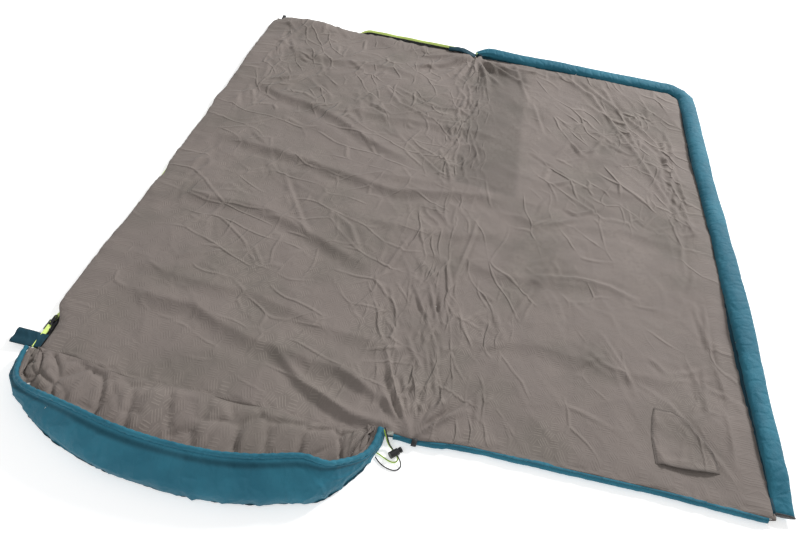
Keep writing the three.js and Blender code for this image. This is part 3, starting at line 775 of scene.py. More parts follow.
def lining_material():
    f = Finish("lining_microfibre", 0.85, Sheen_Weight=0.08, Specular_IOR_Level=0.2)
    strokes = cell_strokes(f, 27)
    patches = f.steps(f.noise(210, 2), 0.42, 0.68)
    worn = f.steps(f.noise(60, 4), 0.35, 0.75)
    base = f.mix(patches, linear(124, 115, 110), linear(114, 107, 101))
    base = f.tint(base, worn, 0.4, linear(132, 122, 116))
    visible = f.times(strokes, f.steps(f.noise(110, 2), 0.38, 0.72))
    band = f.times(f.inside((20, 225), (940, 1800), 14), 0.42)
    base = f.mix(band, base, linear(82, 77, 72))
    colour = f.tint(base, visible, 0.42, linear(150, 141, 133))
    # Painted shade: the lining is darkened along its seams.
    colour = f.tint(colour, painted_seam_shade(f, 9), 0.45, linear(70, 65, 62))
    fibres = f.noise(1.6, 2, (1, 3, 1))
    colour = f.tint(colour, fibres, 0.16, linear(84, 78, 75))
    f.relief(strokes, 0.3)
    f.relief(f.weave(1.1), 0.12)
    f.relief(f.noise(9, 3), 0.5)
    f.relief(f.noise(28, 3), 1.8)
    for size, turn, width, x_range, y_range, soft, depth in CREASED:
        lively = f.steps(f.noise(1.1 * size[1] ** 0.5 * size[0] ** 0.5, 2, (1, 0.8, 1)), 0.42, 0.64)
        shown = f.times(f.inside(x_range, y_range, soft), lively)
        crests = f.times(f.pleats(size, turn, width, 0.01 * size[0] * size[1] % 7), shown)
        f.relief(crests, depth)
        # Painted highlight: the crests of the fine creases are lightened in colour.
        colour = f.tint(colour, crests, 0.06 * depth, linear(150, 140, 133))
    return f.finish(colour, f.maths("MULTIPLY_ADD", fibres, 0.15, 0.74))


def shell_material(name, mid, dark):
    f = Finish(name, 0.7, Sheen_Weight=0.08, Sheen_Roughness=0.4, Specular_IOR_Level=0.2)
    soft = f.steps(f.noise(120, 3), 0.35, 0.7)
    colour = f.mix(soft, dark, mid)
    threads = f.weave(0.7)
    colour = f.tint(colour, threads, 0.12, linear(70, 130, 150))
    # Painted shade: the shell is darkened along its seams.
    colour = f.tint(colour, painted_seam_shade(f, 7), 0.5, linear(16, 42, 52))
    f.relief(threads, 0.1)
    f.relief(f.noise(14, 4, (1, 0.4, 1)), 1.6)
    f.relief(f.noise(45, 3), 4.5)
    f.relief(f.pleats((30, 64), 20, 7, 2.3), 1.0)
    return f.finish(colour, f.maths("MULTIPLY_ADD", f.noise(30, 3), 0.2, 0.6))


def webbing_material(name, light, dark, pitch, on_cloth=True):
    f = Finish(name, 0.6, on_cloth, Sheen_Weight=0.2)
    threads = f.weave(pitch)
    colour = f.mix(f.times(threads, 0.6), dark, light)
    colour = f.tint(colour, f.steps(f.noise(25, 3), 0.4, 0.8), 0.25, dark)
    f.relief(threads, 0.25)
    f.relief(f.noise(12, 3), 0.3)
    return f.finish(colour, f.maths("MULTIPLY_ADD", threads, -0.15, 0.66))


def cord_material(name, light, dark):
    f = Finish(name, 0.55, False, Sheen_Weight=0.2)
    braid = f.tree.nodes.new("ShaderNodeTexWave")
    braid.inputs["Scale"].default_value = 260
    braid.inputs["Distortion"].default_value = 2
    f.put(braid.inputs["Vector"], f.place)
    strands = f.times(braid.outputs["Fac"], f.steps(f.noise(0.9, 2), 0.3, 0.7))
    colour = f.mix(strands, dark, light)
    f.relief(strands, 0.3)
    return f.finish(colour)


def plastic_material(name, colour_a, colour_b, roughness):
    f = Finish(name, roughness, False, Specular_IOR_Level=0.5)
    grain = f.noise(0.7, 3)
    worn = f.steps(f.noise(7, 4), 0.5, 0.75)
    colour = f.mix(f.times(worn, 0.5), colour_a, colour_b)
    f.relief(grain, 0.05)
    return f.finish(colour, f.maths("MULTIPLY_ADD", grain, 0.25, roughness - 0.1))


def metal_material(name, colour_a, colour_b):
    f = Finish(name, 0.3, False, Metallic=1.0)
    scratches = f.noise(2.5, 4, (1, 9, 1))
    colour = f.mix(f.steps(f.noise(6, 3), 0.45, 0.7), colour_a, colour_b)
    f.relief(scratches, 0.03)
    return f.finish(colour, f.maths("MULTIPLY_ADD", scratches, 0.3, 0.2))


def batting_material():
    f = Finish("batting_fibres", 0.95, Sheen_Weight=0.5)
    clumps = f.noise(22, 5)
    colour = f.mix(f.steps(clumps, 0.35, 0.7), linear(214, 214, 208), linear(240, 240, 236))
    f.relief(clumps, 3)
    f.relief(f.noise(3, 5), 0.8)
    return f.finish(colour)


LINING = lining_material()
TEAL = shell_material("shell_polyester", linear(43, 110, 130), linear(33, 96, 116))
# A darker copy of the shell cloth: its darker colour is painted shade, for the hood's seam piping, the
# tube's flange and tail and the neck tab.
TEAL_PAINTED_SHADE = shell_material("shell_polyester_painted_shade", linear(22, 60, 74), linear(14, 46, 58))
BATTING = batting_material()
LIME = webbing_material("lime_tape_weave", linear(240, 255, 160), linear(214, 242, 120), 1.0)
BLACK_TAPE = webbing_material("black_tape_weave", linear(44, 45, 48), linear(14, 14, 16), 0.9)
STITCH = webbing_material("sewing_thread", linear(52, 92, 106), linear(24, 52, 62), 0.5)
GREY_STITCH = webbing_material("lining_thread", linear(112, 104, 100), linear(70, 64, 61), 0.5)
BLACK_CORD = cord_material("cord_braid_black", linear(52, 53, 56), linear(12, 12, 14))
LIME_CORD = cord_material("cord_braid_lime", linear(210, 242, 100), linear(140, 176, 48))
BLACK_PLASTIC = plastic_material("black_acetal", linear(24, 24, 26), linear(48, 48, 51), 0.38)
STEEL = metal_material("spring_wire", linear(176, 178, 180), linear(140, 142, 145))
ZIP_METAL = metal_material("slider_die_cast", linear(120, 122, 126), linear(84, 86, 90))


def dress(piece, material, slot, *nodes):
    """Gives a piece its material, and says which CAD nodes it replaces. Its slot is not used."""
    piece.data.materials.clear()
    piece.data.materials.append(material)
    if nodes:
        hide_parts(*nodes)
    return piece


def thicken(piece, thickness):
    thick = piece.modifiers.new("thick", "SOLIDIFY")
    thick.thickness = thickness * MM
    thick.offset = 0


def across_fold(piece):
    """Bakes the placement of a piece that lies across the fold between the halves into its mesh."""
    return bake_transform(piece)


def across_neck(piece):
    """Bakes the placement of a piece that lies across the neck seam, where the hood folds up, into its
    mesh.
    """
    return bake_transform(piece)


# ---- Free cords ----------------------------------------------------------------------
CORD_DIAMETER = 3
LOOP_ROUTE = [(-22.4, -13.6, 41), (-17.5, -19.4, 35.4), (-12.4, -25.6, 26), (-7.6, -31.4, 16),
              (-3.3, -36.2, 10.6), (2.3, -41.9, 10), (7.1, -46.9, 10), (12, -52, 10),
              (16.9, -57, 10), (22.6, -63, 8.6), (28, -70, 5), (30, -78.5, 2.6), (26, -86.5, 2),
              (16, -91, 1.9), (4, -90, 1.9), (-9, -85.5, 1.9), (-20, -78, 1.9), (-29, -69, 2.3)]
TAIL_ROUTE = [(-22.4, -17.6, 36.4), (-18.6, -22.4, 30), (-13.8, -27.6, 21), (-8.8, -32.6, 12),
              (-3.6, -36.8, 7.2), (2.3, -41.9, 6.6), (7.1, -46.9, 6.6), (12, -52, 6.6),
              (16.9, -57, 6.6), (20.4, -62, 4.6), (20, -68, 2.6), (14, -72, 1.9), (4, -71.6, 1.9),
              (-8, -67, 1.9), (-19, -61.8, 1.9), (-28.4, -58.4, 2.4)]


def loose_cord(name, route, material, slot, node):
    path, length = even_path(route, 4)
    curve = bpy.data.curves.new(name, "CURVE")
    curve.dimensions = "3D"
    curve.bevel_depth = CORD_DIAMETER / 2 * MM
    curve.bevel_resolution = 4
    curve.use_fill_caps = True
    spline = curve.splines.new("POLY")
    spline.points.add(len(path) - 1)
    for point, place in zip(spline.points, to_frame(path)):
        point.co = (*place, 1)
    spline.use_smooth = True
    piece = dress(put_in_scene(name, curve), material, slot, node)
    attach(piece, "hood")


loose_cord("black_drawcord_loop", LOOP_ROUTE, BLACK_CORD, "cord_black", "drawcord_loop")
loose_cord("lime_drawcord_return", TAIL_ROUTE, LIME_CORD, "cord_lime", "drawcord_tail")


# ---- Quilt: lining, batting and shell ------------------------------------------------
def spread(*spans):
    """Lines from span to span, each (end, step), starting at the first span's end."""
    places = [spans[0][0]]
    for end, step in spans[1:]:
        count = max(1, round((end - places[-1]) / step))
        places.extend(np.linspace(places[-1], end, count + 1)[1:])
    return np.array(places)


GRID_X = spread((-HALF_WIDTH, 0), (-790, 4.5), (-120, 6), (120, 3.8), (790, 6), (HALF_WIDTH, 4.5))
GRID_Y = spread((0, 0), (60, 4), (420, 5.2), (1780, 6.2), (LENGTH, 4))


def seam_distance(x, y):
    """Distance to the nearest edge seam, up to 40, where the materials paint shade. The hood side's neck
    seam gets no painted shade.
    """
    at_neck = np.where(x < 0, 40, y)
    return np.minimum(np.minimum(np.minimum(HALF_WIDTH - np.abs(x), LENGTH - y), at_neck), 40)


def make_quilt():
    flat_x, flat_y = np.meshgrid(GRID_X, GRID_Y)
    cloth = np.stack([flat_x, flat_y, seam_distance(flat_x, flat_y)], -1)
    top = quilt_top(flat_x, flat_y)
    lining = sheet_mesh("quilt_lining", top, cloth)
    dress(lining, LINING, "lining", "bottom_lining", "top_lining")
    coarse_x, coarse_y = np.meshgrid(GRID_X[::2], GRID_Y[::2])
    cloth = np.stack([coarse_x, coarse_y, seam_distance(coarse_x, coarse_y)], -1)
    under = quilt_under(coarse_x, coarse_y)
    shell = sheet_mesh("quilt_shell", under, cloth, flip=True)
    dress(shell, TEAL, "shell_teal", "bottom_shell", "top_shell")
    inner = slice(1, -1)
    top, under = top[::2, ::2][: len(under), : under.shape[1]][inner, inner], under[inner, inner]
    fill = slab_mesh("quilt_batting", under + 0.72 * (top - under), under + 0.14 * (top - under))
    dress(fill, BATTING, "batting", "bottom_fill", "top_fill")
    for piece in (lining, shell, fill):
        across_fold(piece)


make_quilt()


# ---- Strips along the seams ----------------------------------------------------------
def seam_path(side, start, end, step, offset=0.0):
    """Places, outward directions and distances along a half's seam, offset outwards, from its
    neck end at y = start to its fold end at |x| = end."""
    straight = LENGTH - CORNER - start
    radius = CORNER + offset
    arc = 0.5 * math.pi * radius
    across = HALF_WIDTH - CORNER - end
    marks = np.linspace(0, straight + arc + across, round((straight + arc + across) / step) + 1)
    turn = np.clip((marks - straight) / radius, 0, 0.5 * math.pi)
    past = np.maximum(marks - straight - arc, 0)
    x = HALF_WIDTH - CORNER + radius * np.cos(turn) - past
    y = np.where(marks < straight, start + marks, LENGTH - CORNER + radius * np.sin(turn))
    out = np.stack([side * np.cos(turn), np.sin(turn), 0 * turn], -1)
    return np.stack([side * x, y, 0 * x], -1), out, marks


def zip_curl(side, place):
    """How far, in radians, the zip's free edge turns up from the floor."""
    x, y = place[:, 0], place[:, 1]
    foot = smooth((y - LENGTH + 12) / 12)
    if side > 0:
        return 0.04 + 0.9 * foot * (1 - smooth((x - 2) / 45))
    at_neck = 0.55 * (1 - smooth((y - 70) / 60))
    return 0.06 + foot * zip_stands(x) * (1.0 + 0.3 * noise(x, y, 75, 61)) + at_neck


def zip_lift(side, place):
    """Height of the line the zip hangs from, just below the seam."""
    if side > 0:
        return 3 + 15 * (place[:, 1] > LENGTH - 1) * (1 - smooth((place[:, 0] - 2) / 45))
    return seam_lift(place[:, 0], place[:, 1]) - 1.5


ZIP_WIDTH = 22


def curled(side, place, out, outward, height):
    """Points outward of a seam and above its zip's line, turned up by the zip's curl."""
    curl = zip_curl(side, place)
    points = place + out * (outward * np.cos(curl) - height * np.sin(curl))[:, None]
    points[:, 2] = zip_lift(side, place) + outward * np.sin(curl) + height * np.cos(curl)
    return points


def strip_grid(side, profile, start, end, step):
    """A strip whose section holds (outward, height) pairs, turned up by the zip's curl."""
    place, out, marks = seam_path(side, start, end, step)
    ripple = 0.8 * wave(marks, 45, 62) + 0.4 * wave(marks, 17, 63)
    rows = []
    for outward, height in profile:
        share = np.clip(outward / ZIP_WIDTH, 0, 1)
        row = curled(side, place, out, outward, height - 3 + ripple * share)
        row[:, 2] = np.maximum(row[:, 2], 0.2)
        rows.append(row)
    return np.stack(rows, 1)


def coil_grid(side, start, end):
    """A wound zip coil as one wire along the seam."""
    pitch, per_turn = 2.6, 7
    outward, height = 9.6, 2.7
    place, out, marks = seam_path(side, start, end, pitch / per_turn)
    turn = 2 * np.pi * np.arange(len(marks)) / per_turn
    wire = curled(side, place, out, outward + 2.4 * np.cos(turn), height + 1.3 * np.sin(turn))
    radial = unit(wire - curled(side, place, out, outward, height))
    wire_radius, sides = 0.62, 4
    return wire[:, None] + wire_radius * ring_of(full_turn(sides), radial, np.cross(tangents(wire), radial))


ZIP_END = 3  # fold to the end of both zips
GUARD = [(0.3, 3.6), (4, 2.0), (10, 1.3), (17, 1.1), (22, 1.3),
         (22.4, 0.7), (17, 0.4), (9, 0.6), (3, 1.2), (0.3, 2.8)]
TAPE = [(0.3, 4.6), (5, 4.0), (10, 3.9), (12.4, 4.0), (12.4, 3.3), (8, 3.2), (3, 3.4), (0.3, 3.8)]


def make_zip(name, side):
    parts = (("guard", GUARD, LIME, "lime_tape"), ("tape", TAPE, BLACK_TAPE, "black_tape"))
    for part, profile, material, slot in parts:
        grid = capped(strip_grid(side, profile, 4, ZIP_END, 7))
        piece = sheet_mesh(f"{name}_{part}_strip", grid, closed=True, flip=side > 0)
        across_fold(dress(piece, material, slot, f"{name}_zip_{part}"))
    wire = sheet_mesh(f"{name}_coil_wire", capped(coil_grid(side, 6, ZIP_END)), closed=True)
    across_fold(dress(wire, BLACK_PLASTIC, "black_plastic", f"{name}_zip_coil"))


make_zip("bottom", -1)
make_zip("top", 1)

# ---- Draft tube ----------------------------------------------------------------------
TUBE_OUT = 41  # side seam to the tube's middle
TUBE_LIFT = 27
TUBE_HALF = (34, 21)
TUBE_END = 0
TUBE_SIDES = 44
TUBE_SEWN = 1.08 * np.pi  # the angle round the tube where it is sewn on
TUBE_CLOTH = 29  # cloth for each radian round the tube


def tube_rings(inset, start, step, detail):
    """Rings of the stuffed tube from its neck end to its fold end."""
    place, out, marks = seam_path(1, start, TUBE_END + inset, step, TUBE_OUT)
    turn = full_turn(TUBE_SIDES)
    s, a = marks[:, None], turn[None, :]
    swell = 1 + detail * (0.045 * wave(s, 150, 71) + 0.03 * noise(s, 26 * a, 60, 72))
    swell = swell + detail * 0.035 * (crumple(s, 30 * a, 34, 73) - 0.6)
    sewn = bump(a, TUBE_SEWN, 0.75)
    swell = swell - detail * sewn * (0.05 + 0.06 * crumple(s, 8 * a, 17, 75))
    left = marks[-1] - marks
    closing = 0.3 + 0.7 * np.sqrt(np.clip(left / 80, 0, 1))
    gather = 1 + detail * 0.09 * (1 - smooth(left / 120))[:, None] * np.sin(9 * a)
    corner = bump(marks - LENGTH + CORNER, 60, 110)
    gather = gather + detail * 0.09 * corner[:, None] * (cell_ridges(s, 20 * a, (34, 60), 80, 5, 78) - 0.3)
    open_end = 0.76 + 0.24 * smooth(marks / 640)
    scale = swell * gather * (closing * open_end)[:, None]
    level = (TUBE_HALF[0] - inset) * scale * np.cos(a)
    rising = (0.38 + 0.62 * np.sqrt(np.clip(marks / 90, 0, 1)))[:, None]
    upright = (TUBE_HALF[1] - inset) * scale * np.sin(a) * rising
    upright = np.where(upright < 0, 0.9 * upright, upright)
    wander = detail * 3 * wave(marks, 210, 76) - 8 * (1 - smooth(marks / 640))
    grid = place[:, None] + out[:, None] * (level + wander[:, None])[..., None]
    lift = TUBE_LIFT - 12 * (1 - smooth(marks / 110)) + 1.5 * detail * wave(marks, 130, 77)
    lift = lift - 5 * (1 - smooth(left / 50))
    grid[..., 2] += lift[:, None] + upright
    grid[..., 1] -= (16 * (1 - smooth(left / 60)))[:, None]
    return grid, marks


def make_tube():
    grid, marks = tube_rings(0, 7, 6, 1)
    turn = full_turn(TUBE_SIDES)
    # The third part, the distance round from where the tube is sewn on, sets the painted shade along that
    # seam.
    parts = np.broadcast_arrays(marks[:, None], TUBE_CLOTH * turn, TUBE_CLOTH * np.abs(turn - TUBE_SEWN))
    cloth = np.stack(parts, -1)
    cloth = np.concatenate([cloth[:1], cloth, cloth[-1:]])
    cover = sheet_mesh("draft_tube_sleeve", capped(grid), cloth, closed=True)
    across_fold(dress(cover, TEAL, "shell_teal", "draft_tube_cover"))
    fill = sheet_mesh("draft_tube_batting", capped(tube_rings(4, 14, 20, 0.4)[0]), closed=True)
    across_fold(dress(fill, BATTING, "batting", "draft_tube_fill"))
    ring = grid[0]
    middle = ring.mean(0)
    bands = [(1.0, 3.4), (1.04, 3.0), (1.06, 1), (1.03, -0.8), (0.9, -1.6), (0.5, -1.8), (0.02, -1.7)]
    binding = np.stack([middle + (ring - middle) * grow + np.array([0, y - 1, 0]) for grow, y in bands])
    binding = sheet_mesh("draft_tube_binding", binding, closed=True, flip=True)
    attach(dress(binding, BLACK_TAPE, "black_tape", "draft_tube_end_binding"), "top_half")
    section = [(0.5, 5.4), (4, 10), (8, 17), (14, 24), (16, 22), (10, 14), (6, 8.4), (1.5, 5.0)]
    flange = capped(strip_grid(1, section, 4, 8, 9))
    flange = sheet_mesh("draft_tube_flange", flange, closed=True, flip=True)
    # The flange's darker teal is painted shade.
    across_fold(dress(flange, TEAL_PAINTED_SHADE, "shell_dark"))


make_tube()


# ---- Hood ----------------------------------------------------------------------------
HOOD_X, HOOD_HALF, HOOD_DEPTH, HOOD_GAP = -448, 428, 252, 3
HOOD_POWER = 2 / 2.2
HOOD_COLUMNS = 220
FLOOR_ROWS = 29  # rows of the outer skin under the hood's floor
WALL = 22.5


def wall_top(depth):
    return 28 + 68 * smooth((depth - 45) / 180)


def hood_inset(z):
    return np.where(z < 32, 5 * ((32 - z) / 32) ** 2, 45 * (np.maximum(z - 32, 0) / 64) ** 1.6)


def hood_point(angle, inset, z):
    cos, sin = np.cos(angle), np.sin(angle)
    across = np.sign(cos) * np.abs(cos) ** HOOD_POWER
    depth = (HOOD_DEPTH - inset) * np.abs(sin) ** HOOD_POWER * (1 + 0.07 * across)
    x = HOOD_X + (HOOD_HALF - inset) * across
    depth = depth + 15 * bump(x, -125, 42)
    return np.stack(np.broadcast_arrays(x, -HOOD_GAP - depth, z), -1)


def hood_angles(count, trim=0.02):
    t = np.linspace(0, 1, count)
    return trim + (math.pi - 2 * trim) * (smooth(t) + t) / 2


ANGLE = hood_angles(HOOD_COLUMNS)
RIM_HEIGHT = wall_top(-hood_point(ANGLE, 0, 0 * ANGLE)[:, 1] - 6)
OUTLINE = hood_point(ANGLE, 30, 0 * ANGLE)
ARC = run_along(OUTLINE)


def relax(points, times):
    """Smooths a grid down its columns, leaving the first and last rows."""
    for _ in range(times):
        points[1:-1] = 0.25 * points[:-2] + 0.5 * points[1:-1] + 0.25 * points[2:]
    return points


def gathers(run, seed, gap, widths):
    """Crests across a run of cloth, gap apart on average: a list of place, width and height."""
    pick = np.random.default_rng(seed)
    places = np.arange(gap, run[-1], gap)
    places = places + pick.uniform(-0.42, 0.42, len(places)) * gap
    return [(p, pick.uniform(*widths), pick.uniform(0.3, 1)) for p in places]


def gather_field(run, down, seed, gap, widths, lean):
    """Gathers that run down the rows, leaning to either side."""
    pick = np.random.default_rng(seed + 1)
    field = np.zeros((len(down), len(run)))
    for place, width, height in gathers(run, seed, gap, widths):
        start, end = sorted(pick.uniform(-0.3, 1.25, 2))
        line = place + lean * pick.uniform(-1, 1) * (down[:, None] - 0.5)
        fade = smooth((down - start) / 0.25) * (1 - smooth((down - end) / 0.25))
        shape = np.exp(-((np.abs(run[None, :] - line) / width) ** 1.5))
        shape = shape - 0.5 * bump(run[None, :] - line, 2 * width, 1.3 * width)
        field += height * fade[:, None] * shape
    return field


def hood_sag(foot):
    """The neck seam's sag over the hood's floor, less where the hood is shallow."""
    return np.minimum(neck_sag(foot[:, 0]), -0.6 * foot[:, 1])


def hood_outer():
    """Outer skin from the neck along the floor to the bottom seam, and up the wall to the rim."""
    seam = hood_point(ANGLE, hood_inset(2.0), 0 * ANGLE + 1.2)
    rows = []
    for t in np.linspace(0, 1, FLOOR_ROWS, endpoint=False):
        row = seam.copy()
        row[:, 1] = seam[:, 1] * t + (2 - hood_sag(seam)) * (1 - t)
        row[:, 2] = 0.5 + 0.5 * t + 0.9 * crumple(row[:, 0], row[:, 1], 70, 81) * (1 - t**6)
        rows.append(row)
    for t in np.linspace(0, 1, 44):
        z = 1.6 + (RIM_HEIGHT - 1.6) * t
        rows.append(hood_point(ANGLE, hood_inset(z), z))
    for inset, lift in ((2.2, 2.4), (5, 4.2), (8.5, 5)):
        rows.append(hood_point(ANGLE, hood_inset(RIM_HEIGHT) + inset, RIM_HEIGHT + lift))
    return np.stack(rows)


def hood_inner():
    """Lining from the neck seam over the floor and up the wall to the rim."""
    foot = hood_point(ANGLE, WALL + 12, 0 * ANGLE + LOFT)
    rows = []
    for t in np.linspace(0, 1, 40)[:-1]:
        row = foot.copy()
        row[:, 1] = foot[:, 1] * t - hood_sag(foot) * (1 - t)
        puff = 8 * noise(row[:, 0], row[:, 1], 120, 83) * math.sin(math.pi * t)
        edge = 24 + 4 * wave(row[:, 0], 90, 42)
        row[:, 2] = edge + (LOFT + 1 - edge) * math.sin(0.5 * math.pi * min(t / 0.2, 1)) + puff
        rows.append(row)
    for t in np.linspace(0, 1, 30):
        z = LOFT + (RIM_HEIGHT - LOFT) * t
        rows.append(hood_point(ANGLE, hood_inset(z) + WALL, z))
    for inset, lift in ((WALL - 3, 3), (WALL - 6.5, 5)):
        rows.append(hood_point(ANGLE, hood_inset(RIM_HEIGHT) + inset, RIM_HEIGHT + lift))
    return relax(np.stack(rows), 10)


def make_hood():
    outer, inner = hood_outer(), hood_inner()
    rows = len(outer)
    wall = np.zeros(rows)
    wall[FLOOR_ROWS:] = np.linspace(0, 1, rows - FLOOR_ROWS)
    on_wall = smooth(wall / 0.06)
    shape = 6 * noise(ARC[None, :], 110 * wall[:, None], 120, 84)
    shape = shape + 6 * gather_field(ARC, 1 - wall, 85, 24, (4.5, 8), 26) * np.exp(-wall / 0.3)[:, None]
    shape = shape + 2.6 * gather_field(ARC, wall, 87, 40, (7, 13), 46)
    arc, rise = np.broadcast_arrays(ARC[None, :], 110 * wall[:, None])
    shape = shape + 2.0 * (cell_ridges(arc, rise, (46, 70), 24, 4, 88) - 0.3)
    groove = 2.6 * bump(wall, 0.93, 0.03)[:, None]
    tight = 1 - smooth((wall - 0.86) / 0.1)
    outer = outer - grid_normals(outer) * (shape * (on_wall * tight)[:, None] - groove)[..., None]
    cloth = cloth_of(outer)
    # Distance from the groove under the rim, along which the shell material paints shade.
    cloth[..., 2] = np.minimum(np.abs(wall - 0.9) * 90, 60)[:, None]
    outer[..., 2] = np.maximum(outer[..., 2], 0.2)
    shell = sheet_mesh("hood_skin", outer, cloth, flip=True)
    dress(shell, TEAL, "shell_teal", "hood_base_shell", "hood_wall_shell")
    rows = len(inner)
    down = np.linspace(0, 1, rows)
    held = smooth(down / 0.06) * (1 - smooth((down - 0.93) / 0.07))
    arc, drop = np.broadcast_arrays(ARC[None, :], 330 * down[:, None])
    shape = 6 * noise(arc, drop, 120, 95) + 3 * gather_field(ARC, down, 91, 44, (8, 17), 60)
    shape = shape - 9 * cell_ridges(arc, drop, (82, 150), 12, 6.5, 97)
    shape = shape - 4 * cell_ridges(arc, drop, (46, 110), -24, 4.5, 99) + 2.5
    shape = shape + 1.8 * gather_field(ARC, down, 93, 21, (4, 8), 30)
    normals = grid_normals(inner)
    normals *= np.sign(normals[5, HOOD_COLUMNS // 2, 2])
    inner = inner + normals * (shape * held[:, None])[..., None]
    cloth = cloth_of(inner)
    cloth[..., 0] -= 870
    cloth[..., 1] = 40 - cloth[..., 1]
    # Distance from the rim, along which the lining material paints shade; none at the neck seam.
    cloth[..., 2] = np.minimum((1 - down) * 300, 40)[:, None]
    lining = sheet_mesh("hood_lining_cloth", inner, cloth)
    dress(lining, LINING, "lining", "hood_base_lining", "hood_wall_lining")
    pick = np.linspace(0.02, 0.88, 36)
    clear = slice(16, -16, 3)  # columns clear of the hood's two ends
    low, high = (g[np.round(pick * (len(g) - 1)).astype(int)][:, clear] for g in (outer, inner))
    fill = slab_mesh("hood_batting", low + 0.6 * (high - low), low + 0.4 * (high - low))
    dress(fill, BATTING, "batting", "hood_base_fill", "hood_wall_fill")
    for piece in (shell, lining, fill):
        across_neck(piece)


make_hood()


def make_rim():
    angle = hood_angles(330, 0.035)
    top = wall_top(-hood_point(angle, 0, 0 * angle)[:, 1] - 6)
    path = hood_point(angle, hood_inset(top) + 11, top + 8)
    run = run_along(path)
    ripple = 0.8 * wave(run, 40, 101) + 0.35 * wave(run, 13, 102)
    path[:, 2] += ripple
    sides = 20
    turn = full_turn(sides)
    radius = 5.4 + 0.6 * noise(run[:, None], 6 * turn[None, :], 9, 103) + 0.5 * np.sin(run / 2.9)[:, None]
    tunnel = sheet_mesh("hood_cord_tunnel", tube_grid(path, radius, sides), closed=True, flip=True)
    dress(tunnel, TEAL, "shell_teal", "hood_rim_tunnel")
    cord = sheet_mesh("hood_inner_cord", capped(tube_grid(path, 1.5, 10)), closed=True, flip=True)
    dress(cord, BLACK_CORD, "cord_black", "hood_drawcord")
    seam = hood_point(angle, 5.5, 0 * angle + 2.2)
    run = run_along(seam)
    scallop = 1.4 * wave(run, 19, 104) + 1.0 * wave(run, 8, 105)
    out = seam - np.array([HOOD_X, 0, 0])
    out[:, 2] = 0
    seam += unit(out) * scallop[:, None]
    seam[:, 2] += 0.8 * np.abs(wave(run, 15, 106))
    piping = sheet_mesh("hood_seam_piping", capped(tube_grid(seam, 2.1, 10)), closed=True, flip=True)
    # The piping's darker teal is painted shade.
    dress(piping, TEAL_PAINTED_SHADE, "shell_dark", "hood_piping")
    for piece in (tunnel, cord, piping):
        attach(piece, "hood")


make_rim()


# ---- Neck edge of the top half -------------------------------------------------------
def neck_profile(x):
    """Section of the binding at x: from the lining's edge down the front to the floor."""
    near_fold = np.exp(-np.maximum(x, 0) / 120)
    ripple = (1.2 + 2.2 * near_fold) * wave(x, 24, 111) + 0.9 * wave(x, 10, 112)
    section = [(5, 15.0), (1.5, 16.8), (-1.2, 17.6), (-4.6, 17.0), (-7.6, 14.2)]
    section += [(-9, 10.4), (-8.6, 6.4), (-6.4, 3.2), (-3, 1.2), (2, 0.5)]
    grid = np.stack([np.stack([x, 0 * x + y, 0 * x + z], -1) for y, z in section])
    swell = np.sin(np.linspace(0, np.pi, len(section)))[:, None]
    grid[..., 1] = grid[..., 1] * (1 - 0.3 * bump(x, 0, 70)) - swell * ripple - sag(x, 0 * x)
    grid[..., 2] += swell * 0.5 * ripple + 1.2 * wave(x, 80, 113)
    grid[..., 2] = np.maximum(grid[..., 2], 0.3)
    return grid


def make_neck_edge():
    x = spread((0, 0), (200, 3), (HALF_WIDTH, 5))
    binding = sheet_mesh("neck_binding_cloth", neck_profile(x), flip=True)
    across_fold(dress(binding, TEAL, "shell_teal", "top_neck_binding"))
    outline = [(3, 19), (-3, 20), (-9, 17.5), (-13, 12), (-12, 8)]
    outline += [(-10, 8), (-8.5, 12), (-6, 16), (1, 17), (3, 19)]
    drop = float(neck_sag(np.array(50.0)))
    loop = np.array([[(x + 0.1 * y, y - drop, z) for x in (44, 56)] for y, z in outline])
    piece = dress(sheet_mesh("neck_edge_loop", loop), BLACK_TAPE, "black_tape", "neck_edge_tab")
    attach(piece, "top_half")
    thicken(piece, 1.2)


make_neck_edge()


# ---- Pocket --------------------------------------------------------------------------
def make_pocket():
    t, s = np.linspace(0, 1, 46), np.linspace(0, 1, 56)
    right = np.array([(753, 74), (750, 100), (738, 132), (716, 168), (686, 202), (650, 219)], float)
    left = np.array([(603, 64), (601, 96), (599, 128), (601, 160), (605, 192), (612, 219)], float)
    marks = np.linspace(0, 1, len(right))
    a, b = sample(t, marks, left), sample(t, marks, right)
    place = a[:, None] + (b - a)[:, None] * s[None, :, None]
    x, y = place[..., 0], place[..., 1]
    y = y - 5 * np.sin(np.pi * s)[None, :] * (1 - t)[:, None] ** 2
    edge = np.minimum(np.minimum(s, 1 - s)[None, :], (1 - t)[:, None])
    sewn = np.clip(edge * 9, 0, 1)
    mouth = np.exp(-t / 0.12)[:, None] * np.sin(np.pi * s)[None, :]
    puff = 1.2 + 3.2 * smooth(sewn) + 5 * mouth + 1.6 * noise(x, y, 26, 121) * sewn
    z = top_height(x, y) + puff
    grid = np.stack([x, y, z], -1)
    # Distance from the pocket's sewn edges and its mouth, along which the lining material paints shade.
    seam = np.clip(np.minimum(edge * 150, (t * 150)[:, None] - 1), 0, 40)
    cloth = np.stack([x, y, seam], -1)
    hem = grid[:1] + np.array([0, 12, -6.5])
    fold = grid[:1] + np.array([0, -1.2, -0.9])
    grid = np.concatenate([hem, fold, grid])
    cloth = np.concatenate([cloth[:1], cloth[:1], cloth])
    piece = dress(sheet_mesh("pocket_cloth", grid, cloth), LINING, "lining", "pocket_panel")
    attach(piece, "top_half")
    return a, b


POCKET_SIDES = make_pocket()


# ---- Closing tab, its patches, the hanging loop and the tube's end --------------------
TAB_ROOT, TAB_LENGTH = -852, 70


def tab_wave(x, y, share, across):
    """The tab's rise and waves at a share of its length."""
    return 4.2 * share**2 + 2.4 * noise(x, y, 24, 131) + 1.6 * np.sin(3.2 * np.pi * across) * share


